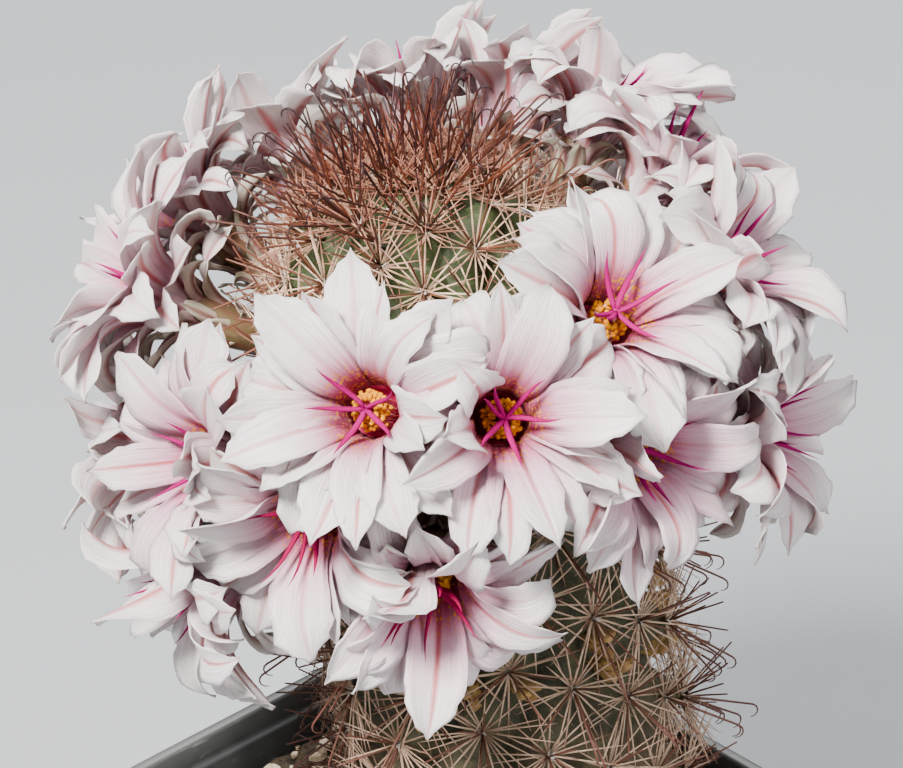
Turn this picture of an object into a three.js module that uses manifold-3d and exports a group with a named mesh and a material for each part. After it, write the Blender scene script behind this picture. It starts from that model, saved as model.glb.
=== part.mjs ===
// A flowering pincushion cactus in a square plastic pot, in millimetres with +Z up.
// The origin is the centre of the pot's underside. The plant leans to the left of a viewer
// who stands at +X, -Y, so its bearings are counted from that viewer's side.

import * as THREE from "three";
import { ConvexHull } from "three/addons/math/ConvexHull.js";
import { mergeVertices } from "three/addons/utils/BufferGeometryUtils.js";
import Module from "manifold-3d";

const wasm = await Module();
wasm.setup();

const { Vector3 } = THREE;
const DEGREE = Math.PI / 180;
const GOLDEN_ANGLE = 137.508 * DEGREE;
const GAP = 0.3;

// Pot
const POT_WIDTH = 70;
const POT_HEIGHT = 65;
const POT_BASE_WIDTH = 50;
const POT_WALL = 1.4;
const POT_FLOOR = 2;
const RIM_LIP = 1.6;
const RIM_DEPTH = 9;
const RIM_TOP = 2;
const LEDGE_DEPTH = 3.5;
const LEDGE_WIDTH = 1.2;
const POT_CORNER = 0.16;
const POT_FACETS = 24;

// Soil and its grit
const SOIL_TOP = POT_HEIGHT - 6;
const GRAIN_COUNT = 28;
const GRAIN_SIZE = 2.1;

// Stem
const APEX_Z = 156;
const DOME_HEIGHT = 22;
const DOME_RADIUS = 19.3;
const STEM_RADIUS = 21.5;
const STEM_WIDENS_OVER = 35;
const NECK_DEPTH = 90;
const NECK_TAPER = 0.03;
const BASE_DEPTH = 104;
const FOOT_INSET = 4;
const FOOT_SIDES = 10;
const LEAN_AT_APEX = -7;
const LEAN_RATE = 0.235;
const LEAN_BEND = 0.0005;

// Tubercles and spines
const TIP_CELL = 41;
const BASE_CELL = 84;
const CELL_GROWS_OVER = 45;
const TUBERCLE_DEPTH = 0.52;
const AREOLE_RADIUS = 0.85;
const AREOLE_HEIGHT = 0.45;
const RADIAL_LENGTH = 9;
const CENTRAL_LENGTH = 9.5;
const RADIAL_TILT = 20;
const SPARE_TILTS = [30, 42, 12, 54, 64];
const CENTRAL_TILTS = [68, 56, 78, 88];
const SPINE_TURNS = [0, 9, -9, 18, -18];
const YOUNG_DEPTH = 14;
const YOUNG_SHARE = 0.72;
const YOUNG_TILT = 46;
const HOOK_LENGTH = 2.2;
const HOOK_THICKNESS = 0.2;
const HOOKED_SHARE = 0.35;
const SPINE_GAP = 0.75;

// Blooms
const TUBE_DEPTH = 4.5;
const TUBE_FOOT = 0.8;
const THROAT_RADIUS = 2.9;
const TUBE_WALL = 0.7;
const THROAT_DEPTH = 6.5;
const THROAT_FLOOR = 1.8;
const SOCKET_SIDES = 8;
const PETALS = 10;
const PETAL_LENGTH = 19.2;
const PETAL_WIDTH = 6.6;
const PETAL_THICKNESS = 0.62;
const PETAL_STEPS = 20;
const PETAL_OUTLINE = [
  [0, 0.34],
  [0.3, 0.44],
  [0.6, 0.98],
  [0.84, 0.64],
  [1, 0],
];
const OUTER_FLARE = 84;
const INNER_FLARE = 60;
const ROOT_LEAN = 8;
const OPEN_BY = 0.62;
const CURL_FROM = 0.55;
const TIP_CURL = 24;
const FLARE_SPREAD = 16;
const SHORTENED = [1, 0.8, 0.62, 0.45];
const BENDS = [0, -7, 7, -14, 14, -21, 21, -28, -35, -42, -49, -56, -63];
const SWAYS = [0, 12, -12, 26, -26];
const PETAL_CLEAR = 1.3;
const FACE_CLEAR = 1.4;

// Stamens and pistil
const STAMEN_RADIUS = 2.45;
const STAMEN_RISE = 2.2;
const ANTHER_RISE = 0.9;
const STAMEN_SIDES = 6;
const STYLE_RADIUS = 0.5;
const STYLE_RISE = 5.2;
const LOBES = 5;
const LOBE_LENGTH = 7.5;
const LOBE_THICKNESS = 0.34;
const LOBE_SPREADS = [62, 50, 38, 26, 14];
const LOBE_CLEAR = 1.3;

// A viewer at +X, -Y has RIGHT to the right and AWAY straight ahead.
const VIEW_BEARING = 46.2 * DEGREE;
const RIGHT = new Vector3(Math.cos(VIEW_BEARING), Math.sin(VIEW_BEARING), 0);
const AWAY = new Vector3(-Math.sin(VIEW_BEARING), Math.cos(VIEW_BEARING), 0);
const UP = new Vector3(0, 0, 1);

// Each bloom's bearing, its level below the apex, how steeply it faces up and its reach,
// the distance from the stem's surface to the mouth of its throat.
const BLOOM_PLAN = [
  [-11, 21.5, 36, 10],
  [17, 24, 28, 10],
  [49, 22, 40, 11],
  [42, 28, 4, 10],
  [-30, 28, 4, 8],
  [-6, 34, -12, 8],
  [-54, 27, 20, 10],
  [-92, 20.5, 42, 13.5],
  [-94, 33, 6, 14],
  [-62, 37, -10, 12],
  [-118, 18.5, 46, 13],
  [-148, 18.5, 50, 11.5],
  [178, 18, 50, 11.5],
  [152, 18, 50, 11.5],
  [127, 18.5, 50, 13],
  [105, 22, 42, 14],
  [81, 26, 28, 15],
  [73, 35, 0, 13],
  [150, 31, 12, 13],
];

const along = (start, ...steps) => {
  const point = start.clone();
  for (const [direction, distance] of steps) point.addScaledVector(direction, distance);
  return point;
};
const smooth = (t) => {
  const s = Math.min(1, Math.max(0, t));
  return s * s * (3 - 2 * s);
};
const mix = (a, b, t) => a + (b - a) * t;
const chance = (seed) => {
  const wave = Math.sin(seed * 12.9898 + 78.233) * 43758.5453;
  return wave - Math.floor(wave);
};

// A closed skin is collected point by point and becomes one geometry.
class Skin {
  points = [];
  faces = [];

  point(p) {
    this.points.push(p.x, p.y, p.z);
    return this.points.length / 3 - 1;
  }

  ring(list) {
    return list.map((p) => this.point(p));
  }

  triangle(a, b, c) {
    this.faces.push(a, b, c);
  }

  fan(ring, tip) {
    ring.forEach((a, i) => this.triangle(a, ring[(i + 1) % ring.length], tip));
  }

  strip(lower, upper, mirrored = []) {
    lower.forEach((a, i) => {
      const j = (i + 1) % lower.length;
      const [b, c, d] = [lower[j], upper[j], upper[i]];
      if (mirrored.includes(i)) {
        this.triangle(a, b, d);
        this.triangle(b, c, d);
      } else {
        this.triangle(a, b, c);
        this.triangle(a, c, d);
      }
    });
  }

  geometry() {
    const made = new THREE.BufferGeometry();
    made.setAttribute("position", new THREE.Float32BufferAttribute(this.points, 3));
    made.setIndex(this.faces);
    return made;
  }
}

function solidOf(geometry) {
  const bare = geometry.clone();
  bare.deleteAttribute("normal");
  bare.deleteAttribute("uv");
  const merged = mergeVertices(bare, 1e-4);
  const vertProperties = new Float32Array(merged.attributes.position.array);
  const triVerts = new Uint32Array(merged.index.array);
  return new wasm.Manifold(new wasm.Mesh({ numProp: 3, vertProperties, triVerts }));
}

function geometryOf(solid) {
  const { vertProperties, triVerts } = solid.getMesh();
  const made = new THREE.BufferGeometry();
  made.setAttribute("position", new THREE.BufferAttribute(vertProperties, 3));
  made.setIndex(new THREE.BufferAttribute(triVerts, 1));
  return made;
}

// The largest body of a solid, without the scraps that a cut leaves beside it.
function mainBody(solid) {
  const bodies = solid.decompose();
  return bodies.reduce((a, b) => (a.volume() > b.volume() ? a : b));
}

// The pot and its soil are turned shapes whose round section is pushed out to a rounded square.
function squared(profile, facets) {
  const turned = new THREE.LatheGeometry(profile, facets);
  turned.rotateX(90 * DEGREE);
  const place = turned.attributes.position;
  for (let i = 0; i < place.count; i++) {
    const [x, y] = [place.getX(i), place.getY(i)];
    const reach = Math.hypot(x, y);
    if (reach < 1e-6) continue;
    const [c, s] = [Math.abs(x / reach), Math.abs(y / reach)];
    const power = 2 / POT_CORNER;
    const square = (c ** power + s ** power) ** (-1 / power);
    place.setXY(i, x * square, y * square);
  }
  return turned;
}

function potShape() {
  const half = POT_WIDTH / 2;
  const base = POT_BASE_WIDTH / 2;
  const under = half - RIM_LIP;
  const inner = half - RIM_TOP;
  const ledge = inner - LEDGE_WIDTH;
  return squared(
    [
      [0, 0],
      [base - 1, 0],
      [base, 1],
      [under - 0.6, POT_HEIGHT - RIM_DEPTH],
      [half - 0.5, POT_HEIGHT - RIM_DEPTH],
      [half, POT_HEIGHT - 0.5],
      [half - 0.5, POT_HEIGHT],
      [inner + 0.4, POT_HEIGHT],
      [inner, POT_HEIGHT - 0.5],
      [inner - 0.1, POT_HEIGHT - LEDGE_DEPTH],
      [ledge, POT_HEIGHT - LEDGE_DEPTH - 0.3],
      [under - 0.6 - POT_WALL, POT_HEIGHT - RIM_DEPTH],
      [base - POT_WALL, POT_FLOOR],
      [0, POT_FLOOR],
    ].map(([x, y]) => new THREE.Vector2(x, y)),
    POT_FACETS,
  );
}

// Half the clear width inside the pot at a height.
function potInside(z) {
  const top = POT_WIDTH / 2 - RIM_LIP - 0.6 - POT_WALL;
  const bottom = POT_BASE_WIDTH / 2 - POT_WALL;
  return mix(bottom, top, (z - POT_FLOOR) / (POT_HEIGHT - RIM_DEPTH - POT_FLOOR));
}

const lean = (depth) => LEAN_AT_APEX + LEAN_RATE * depth - LEAN_BEND * depth * depth;

const axisAt = (depth) => along(new Vector3(), [RIGHT, lean(depth)], [UP, APEX_Z - depth]);

// The stem's radius over the tips of its tubercles.
function radiusAt(depth) {
  if (depth < DOME_HEIGHT) {
    const rise = 1 - depth / DOME_HEIGHT;
    return DOME_RADIUS * Math.sqrt(Math.max(0, 1 - rise * rise));
  }
  const wide = mix(DOME_RADIUS, STEM_RADIUS, smooth((depth - DOME_HEIGHT) / STEM_WIDENS_OVER));
  const below = Math.max(0, depth - NECK_DEPTH);
  return wide - NECK_TAPER * below * below;
}

// A spot on the stem: its point, its outward normal, the way up and the way round.
function spotAt(depth, bearing) {
  const up = axisAt(depth - 0.5).sub(axisAt(depth + 0.5)).normalize();
  const out = along(new Vector3(), [RIGHT, Math.sin(bearing)], [AWAY, -Math.cos(bearing)]);
  out.addScaledVector(up, -out.dot(up)).normalize();
  const slope = (radiusAt(depth + 0.05) - radiusAt(Math.max(0, depth - 0.05))) / 0.1;
  const normal = along(out, [up, slope]).normalize();
  const round = new Vector3().crossVectors(up, out);
  const rise = new Vector3().crossVectors(normal, round);
  const point = along(axisAt(depth), [out, radiusAt(depth)]);
  return { point, normal, rise, round, out, up };
}

// Areoles follow one golden-angle spiral down the stem, closer together on the dome.
function areoleSpots() {
  const spots = [];
  const step = 0.05;
  let counted = 0.5;
  let chart = 0;
  for (let depth = step; depth < NECK_DEPTH - 1; depth += step) {
    const radius = radiusAt(depth);
    const run = Math.hypot(step, radiusAt(depth + step) - radius);
    const cell = mix(TIP_CELL, BASE_CELL, smooth(depth / CELL_GROWS_OVER));
    counted += (2 * Math.PI * radius * run) / cell;
    chart += run / radius;
    if (counted < 1) continue;
    counted -= 1;
    const bearing = spots.length * GOLDEN_ANGLE;
    spots.push({ ...spotAt(depth, bearing), depth, bearing, chart, cell, areole: true });
  }
  return spots;
}

// Plain rings carry the skin from the last tubercles down to the buried foot.
function footSpots(lastChart) {
  const spots = [];
  const ringDepths = [NECK_DEPTH + 3, BASE_DEPTH - 1];
  ringDepths.forEach((depth, level) => {
    for (let i = 0; i < FOOT_SIDES; i++) {
      const bearing = ((i + level / 2) / FOOT_SIDES) * 2 * Math.PI;
      const spot = spotAt(depth, bearing);
      spot.point.addScaledVector(spot.out, -FOOT_INSET);
      spots.push({ ...spot, depth, bearing, chart: lastChart + 0.35 * (level + 1) });
    }
  });
  const foot = spotAt(BASE_DEPTH, 0);
  spots.push({ ...foot, point: axisAt(BASE_DEPTH), depth: BASE_DEPTH, bearing: 0, pole: true });
  return spots;
}

// The spots' neighbours come from their hull on a sphere, on which the stem is charted true
// to angle. Each face of that hull is one axil, the low point between three tubercles.
function stemPlan() {
  const areoles = areoleSpots();
  const lastChart = areoles.at(-1).chart;
  const spots = [...areoles, ...footSpots(lastChart)];
  const middle = lastChart / 2;
  const charted = spots.map((spot, index) => {
    const stretched = 2 * Math.atan(Math.exp(spot.chart - middle)) - 90 * DEGREE;
    const latitude = spot.pole ? 90 * DEGREE : stretched;
    const radius = Math.cos(latitude);
    const [x, y] = [radius * Math.cos(spot.bearing), radius * Math.sin(spot.bearing)];
    return Object.assign(new Vector3(x, y, Math.sin(latitude)), { index });
  });
  const axils = [];
  for (const face of new ConvexHull().setFromPoints(charted).faces) {
    const corners = [];
    let edge = face.edge;
    do {
      corners.push(edge.head().point.index);
      edge = edge.next;
    } while (edge !== face.edge);
    const point = new Vector3();
    for (const i of corners) {
      const { point: tip, normal, cell } = spots[i];
      const sunk = cell ? TUBERCLE_DEPTH * Math.sqrt(cell) : 0;
      point.addScaledVector(along(tip, [normal, -sunk]), 1 / corners.length);
    }
    const bare = corners.some((i) => !spots[i].areole);
    axils.push({ point, corners, bare });
  }
  return { spots, axils };
}

// Sample points of everything that later pieces keep clear of, in a grid of cubes.
class Crowd {
  cells = new Map();
  side = 1.5;

  key(p, i = 0, j = 0, k = 0) {
    const { side } = this;
    const [x, y, z] = [p.x / side, p.y / side, p.z / side].map(Math.floor);
    return `${x + i},${y + j},${z + k}`;
  }

  add(points, owner) {
    for (const p of points) {
      const key = this.key(p);
      if (!this.cells.has(key)) this.cells.set(key, []);
      this.cells.get(key).push([p, owner]);
    }
  }

  meets(points, clear, skipped = () => false) {
    const around = [-1, 0, 1];
    return points.some((p) =>
      around.some((i) =>
        around.some((j) =>
          around.some((k) =>
            (this.cells.get(this.key(p, i, j, k)) || []).some(
              ([q, owner]) => !skipped(owner) && p.distanceToSquared(q) < clear * clear,
            ),
          ),
        ),
      ),
    );
  }
}

// A bloom's place: the mouth of its throat, the way it faces, and the nearest free axil.
function bloomPlaces(axils) {
  const taken = new Set();
  return BLOOM_PLAN.map(([bearing, depth, rise, reach]) => {
    const { point, out, up, round } = spotAt(depth, bearing * DEGREE);
    const climb = rise * DEGREE;
    const facing = along(new Vector3(), [out, Math.cos(climb)], [up, Math.sin(climb)]);
    const mouth = along(point, [facing, reach]);
    const wanted = along(point, [facing, -TUBE_DEPTH]);
    let foot = null;
    for (const axil of axils) {
      if (axil.bare || taken.has(axil)) continue;
      if (!foot || axil.point.distanceTo(wanted) < foot.point.distanceTo(wanted)) foot = axil;
    }
    taken.add(foot);
    const neck = along(mouth, [facing, -THROAT_DEPTH - TUBE_WALL]);
    const tube = neck.clone().sub(foot.point).normalize();
    const across = new Vector3().crossVectors(facing, round).normalize();
    const side = new Vector3().crossVectors(across, facing).normalize();
    const start = along(foot.point, [tube, 0.4]);
    return { mouth, facing, across, side, start, tube, neck };
  });
}

function circle(centre, radius, count, first, second, offset = 0) {
  return Array.from({ length: count }, (_, i) => {
    const angle = ((i + offset) / count) * 2 * Math.PI;
    return along(centre, [first, radius * Math.cos(angle)], [second, radius * Math.sin(angle)]);
  });
}

// The tube's sample points are rings round its line.
function tubeSamples(place) {
  const samples = [];
  const { start, neck, mouth, side, across } = place;
  const ends = [TUBE_FOOT, THROAT_FLOOR + TUBE_WALL, THROAT_RADIUS + TUBE_WALL];
  [[start, neck], [neck, mouth]].forEach(([from, to], stretch) => {
    for (let step = 1; step <= 8; step++) {
      const radius = mix(ends[stretch], ends[stretch + 1], step / 8);
      samples.push(...circle(from.clone().lerp(to, step / 8), radius, 10, side, across));
    }
  });
  return samples;
}

// A petal leaves the tube's rim upright and bends out to its flare. Its frame at a share of
// its length is the middle point, the way across and the upper side's normal.
function petalFrames(place, petal) {
  const { angle, flare, sway, length } = petal;
  const frames = [];
  const point = place.mouth.clone();
  const outward = (turn) =>
    along(new Vector3(), [place.side, Math.cos(turn)], [place.across, Math.sin(turn)]);
  point.addScaledVector(outward(angle), THROAT_RADIUS + TUBE_WALL / 2);
  for (let i = 0; i <= PETAL_STEPS; i++) {
    const share = i / PETAL_STEPS;
    const opened = mix(ROOT_LEAN, flare, smooth(share / OPEN_BY));
    const lean = opened + (TIP_CURL * Math.max(0, share - CURL_FROM)) / (1 - CURL_FROM);
    const turn = angle + sway * share;
    const out = outward(turn);
    const [c, s] = [Math.cos(lean * DEGREE), Math.sin(lean * DEGREE)];
    const normal = along(new Vector3(), [place.facing, s], [out, -c]);
    const across = outward(turn + 90 * DEGREE);
    frames.push({ point: point.clone(), across, normal });
    point.addScaledVector(place.facing, (c * length) / PETAL_STEPS);
    point.addScaledVector(out, (s * length) / PETAL_STEPS);
  }
  return frames;
}

function petalWidth(share) {
  for (let i = 1; i < PETAL_OUTLINE.length; i++) {
    const [from, narrow] = PETAL_OUTLINE[i - 1];
    const [to, wide] = PETAL_OUTLINE[i];
    if (share <= to) return PETAL_WIDTH * mix(narrow, wide, (share - from) / (to - from));
  }
  return 0;
}

function petalSamples(frames, scale) {
  const samples = [];
  frames.forEach(({ point, across }, i) => {
    const share = i / (frames.length - 1);
    if (share < 0.2) return;
    const half = (petalWidth(share) * scale) / 2;
    for (let j = -3; j <= 3; j++) samples.push(along(point, [across, (half * j) / 3]));
  });
  return samples;
}

// The space in front of each throat stays open: its samples form a short cone.
function faceSamples(place) {
  const samples = [];
  for (let rise = 1.5; rise < 9; rise += 1.2) {
    const centre = along(place.mouth, [place.facing, rise]);
    samples.push(centre);
    for (let radius = 1.4; radius < 1.6 + rise * 0.45; radius += 1.4) {
      samples.push(...circle(centre, radius, 8, place.side, place.across));
    }
  }
  return samples;
}

// A petal's own draws: two layers alternate, and each petal differs a little.
function naturalPetal(index, k) {
  const seed = index * 31 + k;
  const angle = ((k + 0.5) / PETALS) * 2 * Math.PI;
  const layer = k % 2 === 1 ? INNER_FLARE : OUTER_FLARE;
  const flare = layer + (chance(seed) - 0.5) * FLARE_SPREAD;
  return { angle, flare, scale: mix(0.92, 1.06, chance(seed + 0.37)) };
}

// Every way that a petal may grow, from its natural one to the most cramped.
function* petalTries({ angle, flare, scale }) {
  for (const shorter of SHORTENED) {
    for (const bend of BENDS) {
      for (const sway of SWAYS) {
        const size = scale * shorter;
        const bent = Math.max(4, flare + bend);
        yield { angle, flare: bent, sway: sway * DEGREE, length: PETAL_LENGTH * size, scale: size };
      }
    }
  }
}

// Every petal takes the first way to grow that keeps it clear of the others.
function arrangePetals(places, crowd) {
  const faces = new Crowd();
  places.forEach((place, index) => {
    crowd.add(tubeSamples(place), index + 0.5);
    faces.add(faceSamples(place), index);
  });
  places.forEach((place, index) => {
    const ownParts = (owner) => Math.floor(owner) === index;
    const othersParts = (owner) => owner !== index;
    place.petals = Array.from({ length: PETALS }, (_, k) => {
      const natural = naturalPetal(index, k);
      for (const petal of petalTries(natural)) {
        const frames = petalFrames(place, petal);
        const samples = petalSamples(frames, petal.scale);
        if (crowd.meets(samples, PETAL_CLEAR, ownParts)) continue;
        const beyondRoot = samples.slice(Math.floor(samples.length * 0.35));
        if (crowd.meets(beyondRoot, PETAL_CLEAR, othersParts)) continue;
        if (faces.meets(samples, FACE_CLEAR, ownParts)) continue;
        crowd.add(samples, index);
        return { ...petal, frames };
      }
      const stub = { ...natural, flare: 10, sway: 0, length: 3, scale: 0.4 };
      return { ...stub, frames: petalFrames(place, stub) };
    });
  });
}

// One bloom is one skin: the tube with its open throat, and a petal drawn out of each rim facet.
function bloomShape(place) {
  const skin = new Skin();
  const { mouth, facing, side, across, start, neck } = place;
  const ringAt = (centre, radius) => skin.ring(circle(centre, radius, PETALS, side, across));
  const foot = ringAt(start, TUBE_FOOT);
  const low = ringAt(neck, THROAT_FLOOR + TUBE_WALL);
  const outer = ringAt(mouth, THROAT_RADIUS + TUBE_WALL);
  const inner = ringAt(mouth, THROAT_RADIUS);
  const floorPoint = along(mouth, [facing, -THROAT_DEPTH]);
  const floor = ringAt(floorPoint, THROAT_FLOOR);
  skin.fan([...foot].reverse(), skin.point(start));
  skin.strip(foot, low);
  skin.strip(low, outer);
  skin.strip(inner, floor);
  skin.fan(floor, skin.point(floorPoint));
  place.petals.forEach((petal, k) => {
    const next = (k + 1) % PETALS;
    let root = [outer[k], outer[next], inner[next], inner[k]];
    for (const [share, wide] of PETAL_OUTLINE.slice(1, -1)) {
      const { point, across: wayAcross, normal } = petal.frames[Math.round(share * PETAL_STEPS)];
      const half = (PETAL_WIDTH * wide * petal.scale) / 2;
      const thick = PETAL_THICKNESS / 2;
      const corner = (a, n) => along(point, [wayAcross, a * half], [normal, n * thick]);
      const ring = skin.ring([corner(-1, -1), corner(1, -1), corner(1, 1), corner(-1, 1)]);
      skin.strip(root, ring, [2]);
      root = ring;
    }
    skin.fan(root, skin.point(petal.frames.at(-1).point));
  });
  return skin.geometry();
}

// The stamens stand as one ring of filaments round the style, knobbed with anthers on top.
function stamensShape(place) {
  const skin = new Skin();
  const { mouth, facing, side, across } = place;
  const count = STAMEN_SIDES;
  const hole = STYLE_RADIUS + GAP + 0.1;
  const halfway = (STAMEN_RADIUS + hole) / 2;
  const at = (rise, radius, offset = 0) =>
    skin.ring(circle(along(mouth, [facing, rise]), radius, count, side, across, offset));
  const low = GAP - THROAT_DEPTH;
  const base = at(low, THROAT_FLOOR - GAP - 0.2);
  const waist = at(0, STAMEN_RADIUS);
  const outer = at(STAMEN_RISE - 0.6, STAMEN_RADIUS + 0.25);
  const middle = at(STAMEN_RISE, halfway);
  const inner = at(STAMEN_RISE, hole);
  const innerBase = at(low, hole);
  skin.strip(innerBase, base);
  skin.strip(base, waist);
  skin.strip(waist, outer);
  const knob = (from, to, tips) => {
    from.forEach((a, i) => {
      const j = (i + 1) % count;
      skin.fan([a, from[j], to[j], to[i]], tips[i]);
    });
  };
  knob(outer, middle, at(STAMEN_RISE + ANTHER_RISE, halfway + 0.6, 0.5));
  knob(middle, inner, at(STAMEN_RISE + 1.5 * ANTHER_RISE, halfway - 0.45, 0.5));
  skin.strip(inner, innerBase);
  return skin.geometry();
}

// A lobe's middle line from the style's tip, at a share of its length.
function lobePoint(place, turn, spread, share) {
  const { mouth, facing, side, across } = place;
  const out = along(new Vector3(), [side, Math.cos(turn)], [across, Math.sin(turn)]);
  const [c, s] = [Math.cos(spread * DEGREE), Math.sin(spread * DEGREE)];
  const rise = STYLE_RISE + 0.3 + LOBE_LENGTH * share * (c + 0.25 * (share - 0.5));
  return along(mouth, [facing, rise], [out, 0.3 + LOBE_LENGTH * share * s]);
}

// The style stands in the throat, and its lobes spread as far as the petals leave them room.
function pistilShape(place, crowd) {
  const skin = new Skin();
  const { mouth, facing, side, across } = place;
  const level = (rise) => along(mouth, [facing, rise]);
  const at = (rise) => skin.ring(circle(level(rise), STYLE_RADIUS, LOBES, side, across));
  const bottom = at(GAP - THROAT_DEPTH);
  const top = at(STYLE_RISE);
  skin.fan([...bottom].reverse(), skin.point(level(GAP - THROAT_DEPTH)));
  skin.strip(bottom, top);
  const crown = skin.point(level(STYLE_RISE + STYLE_RADIUS));
  top.forEach((a, i) => {
    const facet = [a, top[(i + 1) % LOBES], crown];
    const turn = ((i + 0.5) / LOBES) * 2 * Math.PI;
    const spread = LOBE_SPREADS.find((angle) => {
      const line = [0.3, 0.45, 0.6, 0.75, 0.9, 1].map((share) => lobePoint(place, turn, angle, share));
      return !crowd.meets(line, LOBE_CLEAR);
    });
    if (spread === undefined) {
      skin.triangle(...facet);
      return;
    }
    const out = along(new Vector3(), [side, Math.cos(turn)], [across, Math.sin(turn)]);
    const sideways = facing.clone().cross(out);
    const middle = lobePoint(place, turn, spread, 0.5);
    const ring = skin.ring([
      along(middle, [sideways, -LOBE_THICKNESS], [facing, -LOBE_THICKNESS / 2]),
      along(middle, [sideways, LOBE_THICKNESS], [facing, -LOBE_THICKNESS / 2]),
      along(middle, [facing, LOBE_THICKNESS]),
    ]);
    skin.strip(facet, ring);
    skin.fan(ring, skin.point(lobePoint(place, turn, spread, 1)));
  });
  return skin.geometry();
}

function segmentGap(a, b, c, d) {
  const [first, second, between] = [b.clone().sub(a), d.clone().sub(c), a.clone().sub(c)];
  const [aa, bb, ab] = [first.lengthSq(), second.lengthSq(), first.dot(second)];
  const [ac, bc] = [first.dot(between), second.dot(between)];
  const clamp = (t) => Math.min(1, Math.max(0, t));
  const cross = aa * bb - ab * ab;
  let s = cross > 1e-9 ? clamp((ab * bc - ac * bb) / cross) : 0;
  const t = clamp((ab * s + bc) / bb);
  s = clamp((ab * t - ac) / aa);
  return along(a, [first, s]).distanceTo(along(c, [second, t]));
}

// Spines stop short of the grit and of the pot's rim.
function nearPotOrSoil(p) {
  const inside = POT_WIDTH / 2 - RIM_TOP - LEDGE_WIDTH - 1;
  const low = p.z < POT_HEIGHT + 1;
  return p.z < SOIL_TOP + GRAIN_SIZE || (low && Math.max(Math.abs(p.x), Math.abs(p.y)) > inside);
}

// A tubercle's place in the skin: its axils in order round it, and its crown of tip corners.
function tubercleCrown(spot, axilPoints) {
  const { point, normal, rise, round } = spot;
  const cell = axilPoints
    .map(([axil, low]) => {
      const toward = low.clone().sub(point);
      return { axil, angle: Math.atan2(toward.dot(rise), toward.dot(round)) };
    })
    .sort((a, b) => a.angle - b.angle);
  const crown = cell.map(({ angle }) => {
    const [c, s] = [AREOLE_RADIUS * Math.cos(angle), AREOLE_RADIUS * Math.sin(angle)];
    return along(point, [round, c], [rise, s], [normal, -AREOLE_HEIGHT]);
  });
  const middles = cell.map(({ angle }, i) => {
    const step = cell[(i + 1) % cell.length].angle - angle;
    return angle + ((step + 2 * Math.PI) % (2 * Math.PI)) / 2;
  });
  return { cell, crown, middles };
}

// A spine takes the first of its tilts and turns that keeps it clear of blooms, soil, pot
// and the spines already laid, and it is left out where none does.
function spineTip(spot, base, middle, long, tilts, index, laid, crowd) {
  const { normal, rise, round } = spot;
  for (const tilt of tilts) {
    for (const turn of SPINE_TURNS) {
      const angle = middle + turn * DEGREE;
      const flat = Math.cos(tilt * DEGREE) * long;
      const high = Math.sin(tilt * DEGREE) * long;
      const ways = [[round, flat * Math.cos(angle)], [rise, flat * Math.sin(angle)], [normal, high]];
      const tip = along(base, ...ways);
      const line = Array.from({ length: 12 }, (_, n) => base.clone().lerp(tip, (n + 1) / 12));
      if (line.some(nearPotOrSoil) || crowd.meets(line, PETAL_CLEAR)) continue;
      const crosses = ([from, to, owner]) =>
        owner !== index && segmentGap(base, tip, from, to) < SPINE_GAP;
      if (!laid.some(crosses)) return tip;
    }
  }
  return null;
}

// A hooked spine's shaft ends in three corners, and its hook turns down from them.
function addHook(skin, facet, base, tip, rise) {
  const stretch = tip.clone().sub(base).normalize();
  const bow = rise.clone().cross(stretch).normalize();
  const bend = along(new Vector3(), [stretch, -0.35], [rise, -0.85]).normalize();
  const neck = skin.ring([
    along(tip, [bow, -HOOK_THICKNESS]),
    along(tip, [bow, HOOK_THICKNESS]),
    along(tip, [rise, 1.5 * HOOK_THICKNESS]),
  ]);
  skin.strip(facet, neck);
  skin.fan(neck, skin.point(along(tip, [bend, HOOK_LENGTH])));
}

// The stem is one skin: a cone for each tubercle, whose tip facets are drawn out into spines.
function stemShape({ spots, axils }, crowd) {
  const skin = new Skin();
  const lows = axils.map(({ point }) => skin.point(point));
  const around = spots.map(() => []);
  axils.forEach(({ corners, point }, axil) => corners.forEach((i) => around[i].push([axil, point])));
  const laid = [];
  spots.forEach((spot, index) => {
    const { point, rise, depth } = spot;
    const { cell, crown, middles } = tubercleCrown(spot, around[index]);
    const corners = cell.map(({ axil }) => lows[axil]);
    if (!spot.areole) {
      skin.fan(corners, skin.point(point));
      return;
    }
    const rim = skin.ring(crown);
    skin.strip(corners, rim);
    const centre = skin.point(point);
    const upmost = Math.max(...middles.map(Math.sin));
    const young = 1 - smooth(depth / YOUNG_DEPTH);
    middles.forEach((middle, i) => {
      const next = (i + 1) % rim.length;
      const facet = [rim[i], rim[next], centre];
      const seed = index * 7.3 + i;
      const central = Math.sin(middle) === upmost;
      const full = central ? CENTRAL_LENGTH : RADIAL_LENGTH * mix(1, YOUNG_SHARE, young);
      const long = full * mix(0.9, 1.08, chance(seed));
      const radialTilts = [mix(RADIAL_TILT, YOUNG_TILT, young), ...SPARE_TILTS];
      const tilts = central ? CENTRAL_TILTS : radialTilts;
      const base = crown[i].clone().lerp(crown[next], 0.5).lerp(point, 0.4);
      const tip = spineTip(spot, base, middle, long, tilts, index, laid, crowd);
      if (!tip) {
        skin.triangle(...facet);
        return;
      }
      laid.push([base, tip, index]);
      if (central && chance(seed + 0.5) < HOOKED_SHARE) addHook(skin, facet, base, tip, rise);
      else skin.fan(facet, skin.point(tip));
    });
  });
  return skin.geometry();
}

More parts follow.
